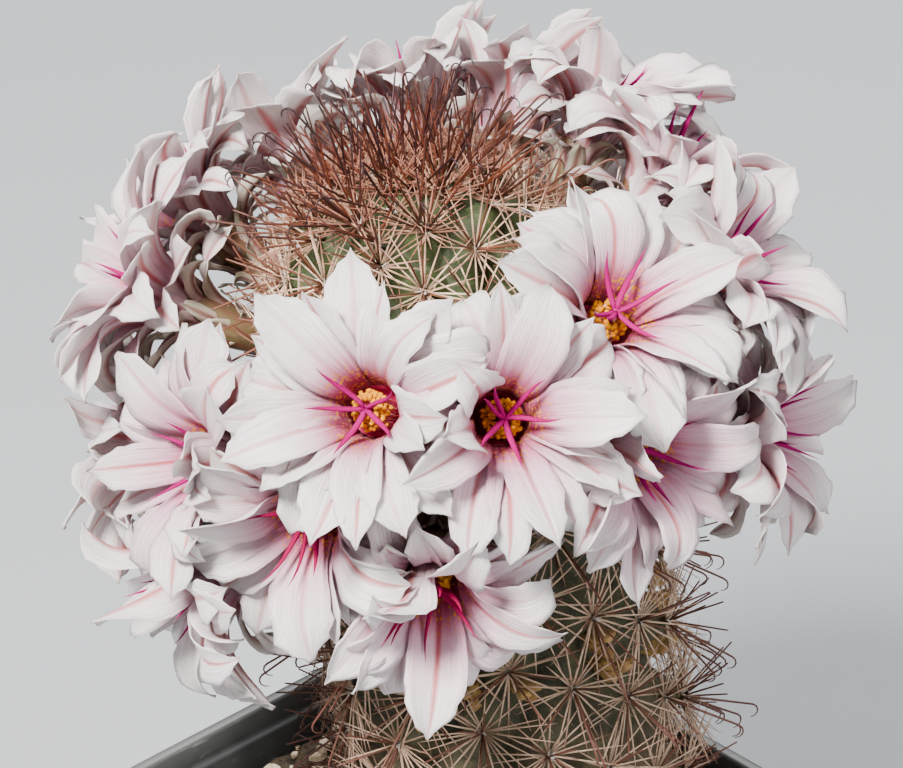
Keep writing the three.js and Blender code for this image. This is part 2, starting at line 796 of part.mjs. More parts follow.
// Sockets in the stem keep the blooms' tubes clear of it.
function socketShape(place) {
  const skin = new Skin();
  const { start, tube, side, across, neck } = place;
  const ringAt = (centre, radius) => skin.ring(circle(centre, radius, SOCKET_SIDES, side, across));
  const spare = GAP + 0.15;
  const bottom = along(start, [tube, -GAP]);
  const low = ringAt(bottom, TUBE_FOOT + spare);
  const high = ringAt(neck, THROAT_FLOOR + TUBE_WALL + spare);
  skin.fan([...low].reverse(), skin.point(bottom));
  skin.strip(low, high);
  skin.fan(high, skin.point(neck));
  return skin.geometry();
}

// The hole that the stem stands in follows its buried outline, a little wider.
function holeShape() {
  const skin = new Skin();
  const spare = 2 * GAP;
  const inset = (depth) => radiusAt(depth) - FOOT_INSET + spare;
  const levels = [
    [BASE_DEPTH + GAP, inset(BASE_DEPTH - 1)],
    [BASE_DEPTH - 1, inset(BASE_DEPTH - 1) + spare],
    [NECK_DEPTH + 3, inset(NECK_DEPTH + 3) + spare],
  ];
  const { round, out } = spotAt(BASE_DEPTH, 0);
  const rings = levels.map(([depth, radius]) =>
    skin.ring(circle(axisAt(depth), radius, 2 * FOOT_SIDES, out, round)),
  );
  skin.fan([...rings[0]].reverse(), skin.point(axisAt(BASE_DEPTH + GAP)));
  skin.strip(rings[0], rings[1]);
  skin.strip(rings[1], rings[2]);
  skin.fan(rings[2], skin.point(axisAt(NECK_DEPTH + 3)));
  return skin.geometry();
}

// The soil fills the pot, and its grit is laid on it clear of the stem.
function soilSolid() {
  const clear = GAP + 0.05;
  const shoulder = POT_HEIGHT - RIM_DEPTH;
  const profile = [
    [0, POT_FLOOR + clear],
    [potInside(POT_FLOOR) - clear, POT_FLOOR + clear],
    [potInside(shoulder) - clear, shoulder],
    [potInside(shoulder) - clear, SOIL_TOP],
    [0, SOIL_TOP + 0.4],
  ].map(([x, y]) => new THREE.Vector2(x, y));
  let made = solidOf(squared(profile, POT_FACETS));
  const spread = potInside(shoulder) - GRAIN_SIZE - 1.5;
  const centre = axisAt(APEX_Z - SOIL_TOP);
  let laid = 0;
  for (let i = 0; laid < GRAIN_COUNT; i++) {
    const x = (2 * chance(i + 0.11) - 1) * spread;
    const y = (2 * chance(i + 0.57) - 1) * spread;
    if (Math.hypot(x - centre.x, y - centre.y) < STEM_RADIUS) continue;
    const size = GRAIN_SIZE * mix(0.6, 1.1, chance(i + 0.83));
    const grain = new THREE.OctahedronGeometry(size, 0);
    grain.scale(1, 0.8, 0.6);
    grain.rotateX(chance(i + 0.2) * 0.7);
    grain.rotateZ(chance(i + 0.3) * 2 * Math.PI);
    grain.translate(x, y, SOIL_TOP + size * 0.12);
    made = made.add(solidOf(grain));
    laid += 1;
  }
  return mainBody(made.subtract(solidOf(holeShape())));
}

const material = (color, roughness) => new THREE.MeshStandardMaterial({ color, roughness, metalness: 0 });
const FINISH = {
  pot: material(0x2a2d2c, 0.45),
  soil: material(0x4a3b2c, 0.95),
  stem: material(0x6c7a48, 0.7),
  petals: material(0xf2e6e8, 0.55),
  stamens: material(0xf7a010, 0.6),
  pistil: material(0xc0106c, 0.45),
};

const plant = new THREE.Group();
function addMesh(name, geometry, finish) {
  const mesh = new THREE.Mesh(geometry, finish);
  mesh.name = name;
  plant.add(mesh);
}

const plan = stemPlan();
const places = bloomPlaces(plan.axils);
const crowd = new Crowd();
arrangePetals(places, crowd);

addMesh("pot", geometryOf(solidOf(potShape())), FINISH.pot);
addMesh("soil", geometryOf(soilSolid()), FINISH.soil);

let stem = solidOf(stemShape(plan, crowd));
for (const bloom of places) stem = stem.subtract(solidOf(socketShape(bloom)));
addMesh("stem", geometryOf(mainBody(stem)), FINISH.stem);

places.forEach((bloom, index) => {
  const number = String(index + 1).padStart(2, "0");
  addMesh("bloom_" + number, bloomShape(bloom), FINISH.petals);
  addMesh("stamens_" + number, stamensShape(bloom), FINISH.stamens);
  addMesh("pistil_" + number, pistilShape(bloom, crowd), FINISH.pistil);
});

export default plant;
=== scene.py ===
# A flowering pincushion cactus in a square plastic pot, dressed round its fixed frame.
# Lengths are millimetres until a mesh is made, and every mesh is stored in metres.

import itertools
import math

import bmesh
import bpy
import numpy as np
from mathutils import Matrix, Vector
from mathutils.kdtree import KDTree


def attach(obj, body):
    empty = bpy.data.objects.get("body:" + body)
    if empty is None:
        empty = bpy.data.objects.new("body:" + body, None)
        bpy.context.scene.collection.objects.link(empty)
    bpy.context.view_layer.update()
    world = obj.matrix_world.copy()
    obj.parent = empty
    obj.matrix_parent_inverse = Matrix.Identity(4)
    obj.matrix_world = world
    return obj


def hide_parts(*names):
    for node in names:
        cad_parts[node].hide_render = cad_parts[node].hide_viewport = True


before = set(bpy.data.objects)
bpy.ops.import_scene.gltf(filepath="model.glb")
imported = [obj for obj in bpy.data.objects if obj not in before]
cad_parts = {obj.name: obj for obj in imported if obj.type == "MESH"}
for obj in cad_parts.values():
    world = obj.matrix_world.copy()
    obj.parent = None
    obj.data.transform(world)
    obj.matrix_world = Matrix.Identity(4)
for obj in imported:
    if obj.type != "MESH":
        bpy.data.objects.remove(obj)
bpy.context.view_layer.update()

MM = 0.001
DEGREE = math.pi / 180
FULL_TURN = 2 * math.pi
GOLDEN_ANGLE = 137.508 * DEGREE

# The photograph's frame in pixels, and the camera worked out from the pot's rim in it
PHOTO_WIDTH = 903
PHOTO_FOCAL = 4264
SENSOR_WIDTH = 36
VIEW_BEARING = 46.2
VIEW_ELEVATION = 30
VIEW_DISTANCE = 520
VIEW_HEIGHT = 127.3

# Pot and soil
POT_WIDTH = 70
POT_HEIGHT = 65
POT_BASE_WIDTH = 50
POT_WALL = 1.4
POT_FLOOR = 2
RIM_LIP = 1.6
RIM_DEPTH = 9
RIM_TOP = 2
LEDGE_DEPTH = 3.5
LEDGE_WIDTH = 1.2
POT_CORNER = 0.16
POT_SIDES = 128
SOFT_EDGE = 0.2
SOIL_TOP = POT_HEIGHT - 6
GRAIN_SIZE = 2.1

# Stem
APEX_Z = 156
DOME_HEIGHT = 22
DOME_RADIUS = 19.3
STEM_RADIUS = 21.5
STEM_WIDENS_OVER = 35
NECK_DEPTH = 90
NECK_TAPER = 0.03
BASE_DEPTH = 104
FOOT_INSET = 4
FOOT_SIDES = 10
LEAN_AT_APEX = -7
LEAN_RATE = 0.235
LEAN_BEND = 0.0005
TIP_CELL = 41
BASE_CELL = 84
CELL_GROWS_OVER = 45
TUBERCLE_DEPTH = 0.52
SLOPE_STEP = 0.05
SPIRAL_STEP = 0.05
FOOT_CHART_STEP = 0.35
YOUNG_DEPTH = 14
CORKY_FROM = 30
CORKY_OVER = 50

# Blooms
TUBE_DEPTH = 4.5
TUBE_FOOT = 0.8
THROAT_RADIUS = 2.9
TUBE_WALL = 0.7
THROAT_DEPTH = 6.5
THROAT_FLOOR = 1.8
CONE_DEPTH = THROAT_DEPTH + TUBE_WALL
NECK_RADIUS = THROAT_FLOOR + TUBE_WALL
RIM_RADIUS = THROAT_RADIUS + TUBE_WALL
PETALS = 10
PETAL_LENGTH = 19.2
PETAL_WIDTH = 6.6
PETAL_STEPS = 20
PETAL_OUTLINE = ((0, 0.34), (0.3, 0.44), (0.6, 0.98), (0.84, 0.64), (1, 0))
OUTER_FLARE = 84
INNER_FLARE = 60
ROOT_LEAN = 8
OPEN_BY = 0.62
CURL_FROM = 0.55
TIP_CURL = 24
FLARE_SPREAD = 16
SHORTENED = (1, 0.8, 0.62, 0.45)
BENDS = (0, -7, 7, -14, 14, -21, 21, -28, -35, -42, -49, -56, -63)
SWAYS = (0, 12, -12, 26, -26)
PETAL_CLEAR = 1.3
FACE_CLEAR = 1.4
FACE_START = 1.5
FACE_END = 9
FACE_STEP = 1.2
FACE_RING = 1.4
FACE_RADIUS = 1.6
FACE_WIDENS = 0.45
STAMEN_RADIUS = 2.45
STAMEN_RISE = 2.2
STYLE_RISE = 5.2
LOBE_LENGTH = 7.5
LOBE_SPREADS = (62, 50, 38, 26, 14)

# Each bloom's bearing, its level below the apex, how steeply it faces up and its reach
BLOOM_PLAN = (
    (-11, 21.5, 36, 10),
    (17, 24, 28, 10),
    (49, 22, 40, 11),
    (42, 28, 4, 10),
    (-30, 28, 4, 8),
    (-6, 34, -12, 8),
    (-54, 27, 20, 10),
    (-92, 20.5, 42, 13.5),
    (-94, 33, 6, 14),
    (-62, 37, -10, 12),
    (-118, 18.5, 46, 13),
    (-148, 18.5, 50, 11.5),
    (178, 18, 50, 11.5),
    (152, 18, 50, 11.5),
    (127, 18.5, 50, 13),
    (105, 22, 42, 14),
    (81, 26, 28, 15),
    (73, 35, 0, 13),
    (150, 31, 12, 13),
)

# The photograph's own directions
TURN = VIEW_BEARING * DEGREE
RIGHT = np.array((math.cos(TURN), math.sin(TURN), 0))
AWAY = np.array((-math.sin(TURN), math.cos(TURN), 0))
UP = np.array((0, 0, 1.0))

# Each lamp's bearing and elevation in degrees, distance and size in metres, power and colour
LAMPS = {
    "key_light": (-32, 50, 0.75, 0.2, 27.0, (1, 0.98, 0.95)),
    "fill_light": (50, 22, 0.9, 0.6, 6.0, (0.97, 0.985, 1)),
    "back_light": (170, 50, 0.9, 0.5, 12.0, (1, 1, 1)),
}
SKY_COLOUR = (0.96, 0.97, 1, 1)
SKY_STRENGTH = 0.32


def smooth(t):
    s = np.clip(t, 0, 1)
    return s * s * (3 - 2 * s)


def mix(a, b, t):
    return a + (b - a) * t


def chance(seed):
    wave = np.sin(seed * 12.9898 + 78.233) * 43758.5453
    return wave - np.floor(wave)


def around(width, seed):
    """A draw spread evenly over a width with 0 in its middle."""
    return width * (chance(seed) - 0.5)


def between(low, high, seed):
    return mix(low, high, chance(seed))


def unit(vector):
    return vector / np.linalg.norm(vector)


def units(vectors):
    return vectors / column(np.linalg.norm(vectors, axis=1))


def column(values):
    return values[:, None]


def shares(steps):
    return np.linspace(0, 1, steps + 1)


def swing(angle, first, second):
    """The direction at an angle from the first direction towards the second."""
    return np.multiply.outer(np.cos(angle), first) + np.multiply.outer(np.sin(angle), second)


def walk(start, steps):
    """The points passed on a walk from the start that takes all the steps but the last."""
    return start + np.concatenate((np.zeros((1, 3)), np.cumsum(steps, axis=0)[:-1]))


# Camera, light and floor


def stand(name, data, bearing, elevation, distance):
    """Stands a camera or lamp off to one side, facing the plant."""
    turn = (VIEW_BEARING + bearing) * DEGREE
    climb = elevation * DEGREE
    level = math.cos(climb)
    way = Vector((math.sin(turn) * level, -math.cos(turn) * level, math.sin(climb)))
    made = bpy.data.objects.new(name, data)
    made.location = Vector((0, 0, VIEW_HEIGHT * MM)) + way * distance
    made.rotation_euler = (-way).to_track_quat("-Z", "Y").to_euler()
    bpy.context.scene.collection.objects.link(made)
    return made


def set_camera():
    data = bpy.data.cameras.new("photo_camera")
    data.sensor_width = SENSOR_WIDTH
    data.lens = PHOTO_FOCAL / PHOTO_WIDTH * SENSOR_WIDTH
    data.clip_start = 0.01
    camera = stand("photo_camera", data, 0, VIEW_ELEVATION, VIEW_DISTANCE * MM)
    bpy.context.scene.camera = camera


def light_studio():
    for name, (bearing, elevation, distance, size, power, colour) in LAMPS.items():
        data = bpy.data.lights.new(name, "AREA")
        data.shape = "DISK"
        data.size = size
        data.energy = power
        data.color = colour
        stand(name, data, bearing, elevation, distance)
    world = bpy.data.worlds.new("studio")
    world.use_nodes = True
    background = world.node_tree.nodes["Background"]
    background.inputs["Color"].default_value = SKY_COLOUR
    background.inputs["Strength"].default_value = SKY_STRENGTH
    bpy.context.scene.world = world


# Materials


def forward(operation):
    return lambda self, *others: self.math(operation, self, *others)


def reflected(operation):
    return lambda self, other: self.math(operation, other, self)


class Signal:
    """A shader socket that takes part in sums, products and comparisons."""

    def __init__(self, finish, socket):
        self.finish = finish
        self.socket = socket

    def math(self, operation, *values, clamp=False):
        settings = {"operation": operation, "use_clamp": clamp}
        made = self.finish.node("ShaderNodeMath", settings, *values)
        return Signal(self.finish, made.outputs[0])

    __add__ = forward("ADD")
    __radd__ = reflected("ADD")
    __sub__ = forward("SUBTRACT")
    __rsub__ = reflected("SUBTRACT")
    __mul__ = forward("MULTIPLY")
    __rmul__ = reflected("MULTIPLY")
    __truediv__ = forward("DIVIDE")
    __pow__ = forward("POWER")
    __abs__ = forward("ABSOLUTE")
    at_most = forward("MINIMUM")

    def clamped(self):
        return self.math("ADD", self, 0, clamp=True)

    def fade(self, start, end):
        """0 at start and 1 at end, straight between them and held outside them."""
        return ((self - start) / (end - start)).clamped()


class Finish:
    """A material whose nodes are added by calls and whose constants sit on the shader.

    Its place is the object coordinates in millimetres.
    """

    def __init__(self, name, **constants):
        self.material = bpy.data.materials.new(name)
        self.material.use_nodes = True
        self.tree = self.material.node_tree
        self.shader = self.tree.nodes["Principled BSDF"]
        self.feed(**constants)
        coordinates = self.node("ShaderNodeTexCoord", {}).outputs["Object"]
        scale = {"operation": "SCALE"}
        scaled = self.node("ShaderNodeVectorMath", scale, coordinates, Scale=1 / MM)
        self.place = scaled.outputs[0]

    def node(self, kind, settings, *values, **named):
        made = self.tree.nodes.new(kind)
        for setting, value in settings.items():
            setattr(made, setting, value)
        for key, value in [*enumerate(values), *named.items()]:
            self.join(made.inputs[key], value)
        return made

    def join(self, socket, value):
        if isinstance(value, Signal):
            self.tree.links.new(value.socket, socket)
        elif isinstance(value, bpy.types.NodeSocket):
            self.tree.links.new(value, socket)
        else:
            socket.default_value = value

    def numbers(self, *names):
        """What the pieces carry for the finish, point by point, under these names."""
        made = [self.node("ShaderNodeAttribute", {"attribute_name": name}) for name in names]
        return [Signal(self, node.outputs["Fac"]) for node in made]

    def vector(self, x, y, z=0):
        return self.node("ShaderNodeCombineXYZ", {}, x, y, z).outputs[0]

    def noise(self, scale, detail=2.0, roughness=0.5, at=None):
        inputs = {"Scale": scale, "Detail": detail, "Roughness": roughness}
        inputs["Vector"] = self.place if at is None else at
        return Signal(self, self.node("ShaderNodeTexNoise", {}, **inputs).outputs[0])

    def cells(self, scale):
        made = self.node("ShaderNodeTexVoronoi", {}, Vector=self.place, Scale=scale)
        return Signal(self, made.outputs["Distance"])

    def blend(self, factor, first, second):
        made = self.node("ShaderNodeMix", {"data_type": "RGBA"})
        for index, value in ((0, factor), (6, first), (7, second)):
            if isinstance(value, tuple):
                value = (*value, 1)
            self.join(made.inputs[index], value)
        return made.outputs[2]

    def feed(self, **sockets):
        for socket, value in sockets.items():
            self.join(self.shader.inputs[socket.replace("_", " ")], value)

    def coat(self, colour, roughness, height=None, depth=0, strength=1.0):
        """Gives the shader its changing values, with a bump where a height is given."""
        self.feed(Base_Color=colour, Roughness=roughness)
        if height:
            inputs = {"Height": height, "Strength": strength, "Distance": depth * MM}
            self.feed(Normal=self.node("ShaderNodeBump", {}, **inputs).outputs[0])
        return self.material


def petal_finish():
    finish = Finish(
        "satin_petal", Subsurface_Weight=0.12, Subsurface_Scale=0.0012, Sheen_Weight=0.1, IOR=1.42
    )
    finish.shader.inputs["Subsurface Radius"].default_value = (1.0, 0.62, 0.6)
    along, across, back, outer, draw, blush = finish.numbers(
        "along", "across", "back", "outer", "draw", "blush"
    )
    streak_place = finish.vector(across * 6 + draw * 40, along * 0.9, draw * 17)
    streaks = finish.noise(1.6, 4.0, 0.6, streak_place)
    fine_place = finish.vector(across * 30 + draw * 60, along * 2.2, draw * 9)
    fine = finish.noise(1.0, 3.0, 0.7, fine_place)
    sparkle = finish.noise(6.5, 3.0, 0.75)
    ragged = along + (streaks - 0.5) * 0.22
    silk = (fine * 0.55 + streaks * 0.45).fade(0.34, 0.66)
    white = finish.blend(silk, (0.78, 0.65, 0.65), (0.97, 0.94, 0.92))
    cream = finish.blend(silk, (0.45, 0.42, 0.22), (0.82, 0.77, 0.58))
    petal = finish.blend((outer - 0.35).fade(0.0, 0.9) * (0.35 + back * 0.65), white, cream)
    flush = (1 - ragged.fade(0.18, 0.66 + blush * 0.4)) ** 1.35 * (0.95 - back * 0.5)
    tinted = finish.blend(flush, petal, (0.62, 0.035, 0.25))
    throat = (1 - ragged.fade(0.16, 0.42)) * (1 - back * 0.85)
    deep = finish.blend(throat, tinted, (0.42, 0.004, 0.09))
    core = (1 - ragged.fade(0.04, 0.15)) * (1 - back)
    darkest = finish.blend(core, deep, (0.3, 0.001, 0.035))
    width = 0.1 + outer * 0.16 + back * 0.06 + (streaks - 0.5) * 0.12
    middle = 1 - (abs(across) / width).fade(0.3, 1.5)
    stripe = middle * along.fade(0.04, 0.3) * (1.1 - along * 0.35)
    strength = (draw.fade(0.2, 0.8) * 0.8 + 0.12 + outer * 0.6 + back * 0.4).at_most(0.95)
    hue = finish.blend(outer * (0.5 + back * 0.5), (0.56, 0.07, 0.08), (0.2, 0.02, 0.014))
    striped = finish.blend(stripe * strength, darkest, hue)
    tipped = finish.blend(along.fade(0.965, 1.0) * 0.5, striped, (0.42, 0.2, 0.12))
    grains = 1 - finish.cells(1.7).fade(0.28, 0.42)
    near = along.fade(0.04, 0.12) * (1 - along.fade(0.2, 0.42))
    scattered = finish.noise(0.4, 2.0).fade(0.3, 0.5)
    pollen = (grains * near * scattered * 1.8 * (1 - back)).clamped()
    colour = finish.blend(pollen, tipped, (0.88, 0.33, 0.0))
    return finish.coat(colour, 0.34 + sparkle * 0.3, fine + streaks + sparkle * 0.6, 0.34, 0.9)


def tube_finish():
    finish = Finish("bloom_tube", Subsurface_Weight=0.15, Subsurface_Scale=0.0015)
    along, across, inner = finish.numbers("along", "across", "back")
    mottle = finish.noise(1.4, 3.0)
    ribs = finish.noise(1.0, 3.0, 0.6, finish.vector(across * 3, along * 0.8))
    outside = finish.blend(along.fade(0.1, 0.8), (0.035, 0.05, 0.014), (0.15, 0.11, 0.05))
    ribbed = finish.blend(ribs.fade(0.42, 0.6) * 0.65, outside, (0.12, 0.02, 0.012))
    inside = finish.blend(inner, ribbed, (0.36, 0.003, 0.06))
    colour = finish.blend(mottle.fade(0.45, 0.75) * 0.35, inside, (0.16, 0.05, 0.03))
    return finish.coat(colour, 0.42 + mottle * 0.2, mottle, 0.15, 0.5)


def anther_finish():
    finish = Finish("pollen_anther", Specular_IOR_Level=0.05)
    dust = finish.noise(6.0, 3.0, 0.7)
    [draw] = finish.numbers("draw")
    tone = (dust * 0.6 + draw * 0.5).fade(0.25, 0.85)
    colour = finish.blend(tone, (0.46, 0.145, 0.0), (0.66, 0.27, 0.0))
    return finish.coat(colour, 0.62 + dust * 0.2, dust, 0.12, 0.8)


def filament_finish():
    finish = Finish("stamen_filament", Subsurface_Weight=0.15, Subsurface_Scale=0.0006)
    [along] = finish.numbers("along")
    speck = finish.noise(3.0)
    stalk = finish.blend(along.fade(0.15, 0.9), (0.5, 0.03, 0.14), (0.85, 0.42, 0.32))
    colour = finish.blend(speck * 0.3, stalk, (0.75, 0.3, 0.3))
    return finish.coat(colour, 0.4 + speck * 0.2)


def stigma_finish():
    finish = Finish("magenta_stigma", Specular_IOR_Level=0.06)
    along, aged = finish.numbers("along", "draw")
    grain = finish.noise(9.0, 3.0, 0.7)
    fresh = finish.blend(grain.fade(0.3, 0.7), (0.19, 0.0, 0.065), (0.34, 0.0, 0.125))
    worn = finish.blend(grain.fade(0.3, 0.7), (0.14, 0.0, 0.02), (0.3, 0.004, 0.05))
    lobes = finish.blend(aged, fresh, worn)
    colour = finish.blend((1 - along.fade(0.0, 0.3)) * 0.55, lobes, (0.5, 0.05, 0.2))
    return finish.coat(colour, 0.42 + grain * 0.25, grain, 0.06, 0.7)


def skin_finish():
    finish = Finish("cactus_skin", Subsurface_Weight=0.06, Subsurface_Scale=0.002)
    height, young, corky = finish.numbers("height", "young", "corky")
    mottle = finish.noise(0.35, 4.0)
    pores = 1 - finish.cells(2.6).fade(0.12, 0.3)
    wrinkle = finish.noise(2.4, 4.0, 0.65)
    old = finish.blend(mottle.fade(0.35, 0.7), (0.02, 0.021, 0.009), (0.075, 0.066, 0.029))
    fresh = finish.blend(mottle.fade(0.35, 0.7), (0.018, 0.031, 0.006), (0.055, 0.078, 0.016))
    skin = finish.blend(young, old, fresh)
    lit = finish.blend(height.fade(0.25, 1.0) * 0.25, skin, (0.1, 0.13, 0.045))
    speckled = finish.blend(pores * 0.25, lit, (0.24, 0.27, 0.15))
    corked = finish.blend(corky * wrinkle.fade(0.25, 0.55), speckled, (0.12, 0.065, 0.035))
    shaded = finish.blend((1 - height.fade(0.0, 0.45)) * 0.75, corked, (0.035, 0.04, 0.018))
    return finish.coat(shaded, 0.55 + wrinkle * 0.3, wrinkle * 0.7 + pores * 0.4, 0.22, 0.6)


# Each spine's base, middle and tip, and the base and tip of a young one
RADIAL_COLOURS = (
    (0.62, 0.45, 0.3),
    (0.74, 0.53, 0.37),
    (0.2, 0.07, 0.045),
    (0.7, 0.49, 0.33),
    (0.22, 0.08, 0.05),
)
CENTRAL_COLOURS = (
    (0.2, 0.08, 0.04),
    (0.14, 0.048, 0.032),
    (0.04, 0.012, 0.011),
    (0.15, 0.03, 0.009),
    (0.006, 0.002, 0.004),
)


def spine_finish(name, base, middle, tip, young_base, young_tip):
    finish = Finish(name, Specular_IOR_Level=0.25)
    along, young, corky, draw = finish.numbers("along", "young", "corky", "draw")
    rings = finish.noise(1.0, at=finish.vector(along * 30, draw * 50))
    shaft = finish.blend(along.fade(0.0, 0.5), base, middle)
    whole = finish.blend((along + draw * 0.3).fade(0.62, 1.15), shaft, tip)
    fresh = finish.blend((along + draw * 0.5).fade(0.05, 0.7), young_base, young_tip)
    grown = finish.blend(young.fade(0.35, 1.0), whole, fresh)
    weathered = tuple(channel * 0.42 for channel in middle)
    aged = finish.blend(corky * 0.7, grown, weathered)
    colour = finish.blend(rings.fade(0.35, 0.8) * 0.35 + draw * 0.2, aged, tip)
    return finish.coat(colour, 0.34 + rings * 0.25, rings, 0.05, 0.4)


def wool_finish():
    finish = Finish("areole_wool", Sheen_Weight=0.5)
    [draw] = finish.numbers("draw")
    fluff = finish.noise(4.0, 3.0)
    dull = (draw * 0.7 + fluff * 0.4).clamped()
    colour = finish.blend(dull, (0.72, 0.68, 0.6), (0.32, 0.27, 0.21))
    return finish.coat(colour, 0.8 + fluff * 0.15)


def husk_finish():
    finish = Finish("dry_husk", Subsurface_Weight=0.1, Subsurface_Scale=0.001)
    [along] = finish.numbers("along")
    crease = finish.noise(1.6, 4.0, 0.7)
    dry = finish.blend(crease.fade(0.3, 0.7), (0.12, 0.05, 0.012), (0.52, 0.33, 0.09))
    colour = finish.blend(along.fade(0.5, 1.0) * 0.5, dry, (0.35, 0.2, 0.08))
    return finish.coat(colour, 0.6 + crease * 0.25, crease, 0.3, 0.8)


def pot_finish():
    finish = Finish("pot_plastic", Specular_IOR_Level=0.45)
    grain = finish.noise(6.0, 3.0, 0.7)
    dust = finish.noise(0.09, 5.0, 0.7)
    along, across, rim = finish.numbers("along", "across", "rim")
    scuff = finish.noise(1.0, at=finish.vector(along * 9, across * 90))
    plastic = finish.blend(grain.fade(0.3, 0.7), (0.013, 0.014, 0.014), (0.022, 0.024, 0.024))
    dusty = (dust.fade(0.35, 0.9) * 0.16 + rim * 0.28).clamped()
    dusted = finish.blend(dusty, plastic, (0.14, 0.145, 0.14))
    worn = finish.blend(scuff.fade(0.62, 0.75) * 0.2 * (0.4 + rim), dusted, (0.3, 0.31, 0.3))
    return finish.coat(worn, 0.3 + grain * 0.16 + dust * 0.2, grain * 0.6 + scuff * 0.3, 0.05, 0.35)


def soil_finish():
    finish = Finish("potting_mix", Specular_IOR_Level=0.3)
    crumbs = finish.noise(0.8, 5.0, 0.75)
    fibres = finish.noise(3.2, 3.0, 0.7)
    dark = finish.blend(crumbs.fade(0.35, 0.65), (0.016, 0.01, 0.006), (0.085, 0.055, 0.032))
    colour = finish.blend(fibres.fade(0.6, 0.8) * 0.5, dark, (0.2, 0.14, 0.08))
    return finish.coat(colour, 0.82 + crumbs * 0.15, crumbs + fibres * 0.5, 0.8, 0.9)


def grit_finish():
    finish = Finish("pale_grit", Specular_IOR_Level=0.4)
    [draw] = finish.numbers("draw")
    grain = finish.noise(2.2, 4.0, 0.7)
    pale = finish.blend(draw.fade(0.0, 0.55), (0.13, 0.085, 0.05), (0.55, 0.42, 0.27))
    varied = finish.blend(draw.fade(0.6, 1.0), pale, (0.66, 0.6, 0.5))
    colour = finish.blend(grain.fade(0.45, 0.75) * 0.55, varied, (0.1, 0.07, 0.045))
    return finish.coat(colour, 0.65 + grain * 0.25, grain, 0.4, 0.8)


def floor_finish():
    return Finish("studio_floor").coat((0.3, 0.31, 0.325, 1), 0.75)


# Patterns made by operators, and the pieces that repeat them


class Pattern:
    """A small mesh whose points are later moved to their places, copy by copy."""

    def __init__(self, bm):
        bm.verts.index_update()
        self.points = np.array([vert.co[:] for vert in bm.verts])
        self.faces = [[vert.index for vert in face.verts] for face in bm.faces]
        self.share = self.points[:, 2]
        self.angle = np.arctan2(self.points[:, 1], self.points[:, 0])
        bm.free()

    def ring(self, steps):
        """Which ring of the rod each point is in, counted from 0 to this many steps."""
        return np.rint(self.share * steps).astype(int)


TIP_SPACING = 1.35
CUT_TOLERANCE = 1e-6


def grid_pattern(columns, rows):
    bm = bmesh.new()
    bmesh.ops.create_grid(bm, x_segments=columns, y_segments=rows, size=1)
    return Pattern(bm)


def slab_pattern(columns, rows):
    """A thin slab: x is -1 to 1 across, z is 0 below and 1 above, and y is 0 to 1 along.

    Its rows lie closer together towards the tip, where the outline turns fastest.
    """
    bm = bmesh.new()
    bmesh.ops.create_grid(bm, x_segments=columns, y_segments=rows, size=1)
    raised = bmesh.ops.extrude_face_region(bm, geom=bm.faces[:])["geom"]
    top = [item for item in raised if isinstance(item, bmesh.types.BMVert)]
    bmesh.ops.translate(bm, vec=(0, 0, 1), verts=top)
    bmesh.ops.translate(bm, vec=(0, 1, 0), verts=bm.verts)
    bmesh.ops.scale(bm, vec=(1, 0.5, 1), verts=bm.verts)
    for vert in bm.verts:
        vert.co.y = 1 - max(0, 1 - vert.co.y) ** TIP_SPACING
    bmesh.ops.recalc_face_normals(bm, faces=bm.faces)
    return Pattern(bm)


def rod_pattern(sides, rings):
    """A closed rod of unit radius round z, which runs from 0 to 1 in equal steps."""
    bm = bmesh.new()
    bmesh.ops.create_cone(bm, cap_ends=True, segments=sides, radius1=1, radius2=1, depth=1)
    bmesh.ops.translate(bm, vec=(0, 0, 0.5), verts=bm.verts)
    for ring in range(1, rings):
        everything = bm.verts[:] + bm.edges[:] + bm.faces[:]
        height = (0, 0, ring / rings)
        cut = {"plane_co": height, "plane_no": (0, 0, 1), "dist": CUT_TOLERANCE}
        bmesh.ops.bisect_plane(bm, geom=everything, **cut)
    return Pattern(bm)


def bead_pattern(sides, rings):
    bm = bmesh.new()
    bmesh.ops.create_uvsphere(bm, u_segments=sides, v_segments=rings, radius=1)
    return Pattern(bm)


class Piece:
    """Collects placed copies of patterns, with numbers for its finish, and makes one mesh."""

    def __init__(self):
        self.points = []
        self.faces = []
        self.numbers = {}
        self.count = 0

    def add(self, pattern, placed, **numbers):
        self.points.append(placed)
        self.faces += [[index + self.count for index in face] for face in pattern.faces]
        size = len(placed)
        for name, value in numbers.items():
            self.numbers.setdefault(name, []).append((self.count, np.broadcast_to(value, size)))
        self.count += size

    def thread(self, pattern, path, radii, flat=1.0, **numbers):
        """Adds a rod drawn along a path, which tells its finish how far along each point is."""
        numbers.setdefault("along", pattern.share)
        self.add(pattern, along_path(pattern, path, radii, flat), **numbers)

    def finish(self, name, material, slot, node, rounded=True):
        mesh = bpy.data.meshes.new(name)
        mesh.from_pydata(np.concatenate(self.points) * MM, [], self.faces)
        for label, runs in self.numbers.items():
            values = np.zeros(self.count)
            for start, run in runs:
                values[start : start + len(run)] = run
            layer = mesh.attributes.new(label, "FLOAT", "POINT")
            layer.data.foreach_set("value", values)
        mesh.polygons.foreach_set("use_smooth", [rounded] * len(mesh.polygons))
        mesh.materials.append(FINISHES[material])
        mesh.validate()
        made = bpy.data.objects.new(name, mesh)
        bpy.context.scene.collection.objects.link(made)
        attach(made, "root")
        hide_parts(node)
        return made


def path_frames(path):
    """Two crossways directions for each point of a path, carried along without twisting."""
    ways = units(np.gradient(path, axis=0))
    seed = UP if abs(ways[0][2]) < 0.9 else RIGHT
    first = unit(np.cross(ways[0], seed))
    firsts = []
    for way in ways:
        first = unit(first - way * first.dot(way))
        firsts.append(first)
    firsts = np.array(firsts)
    return firsts, np.cross(ways, firsts)


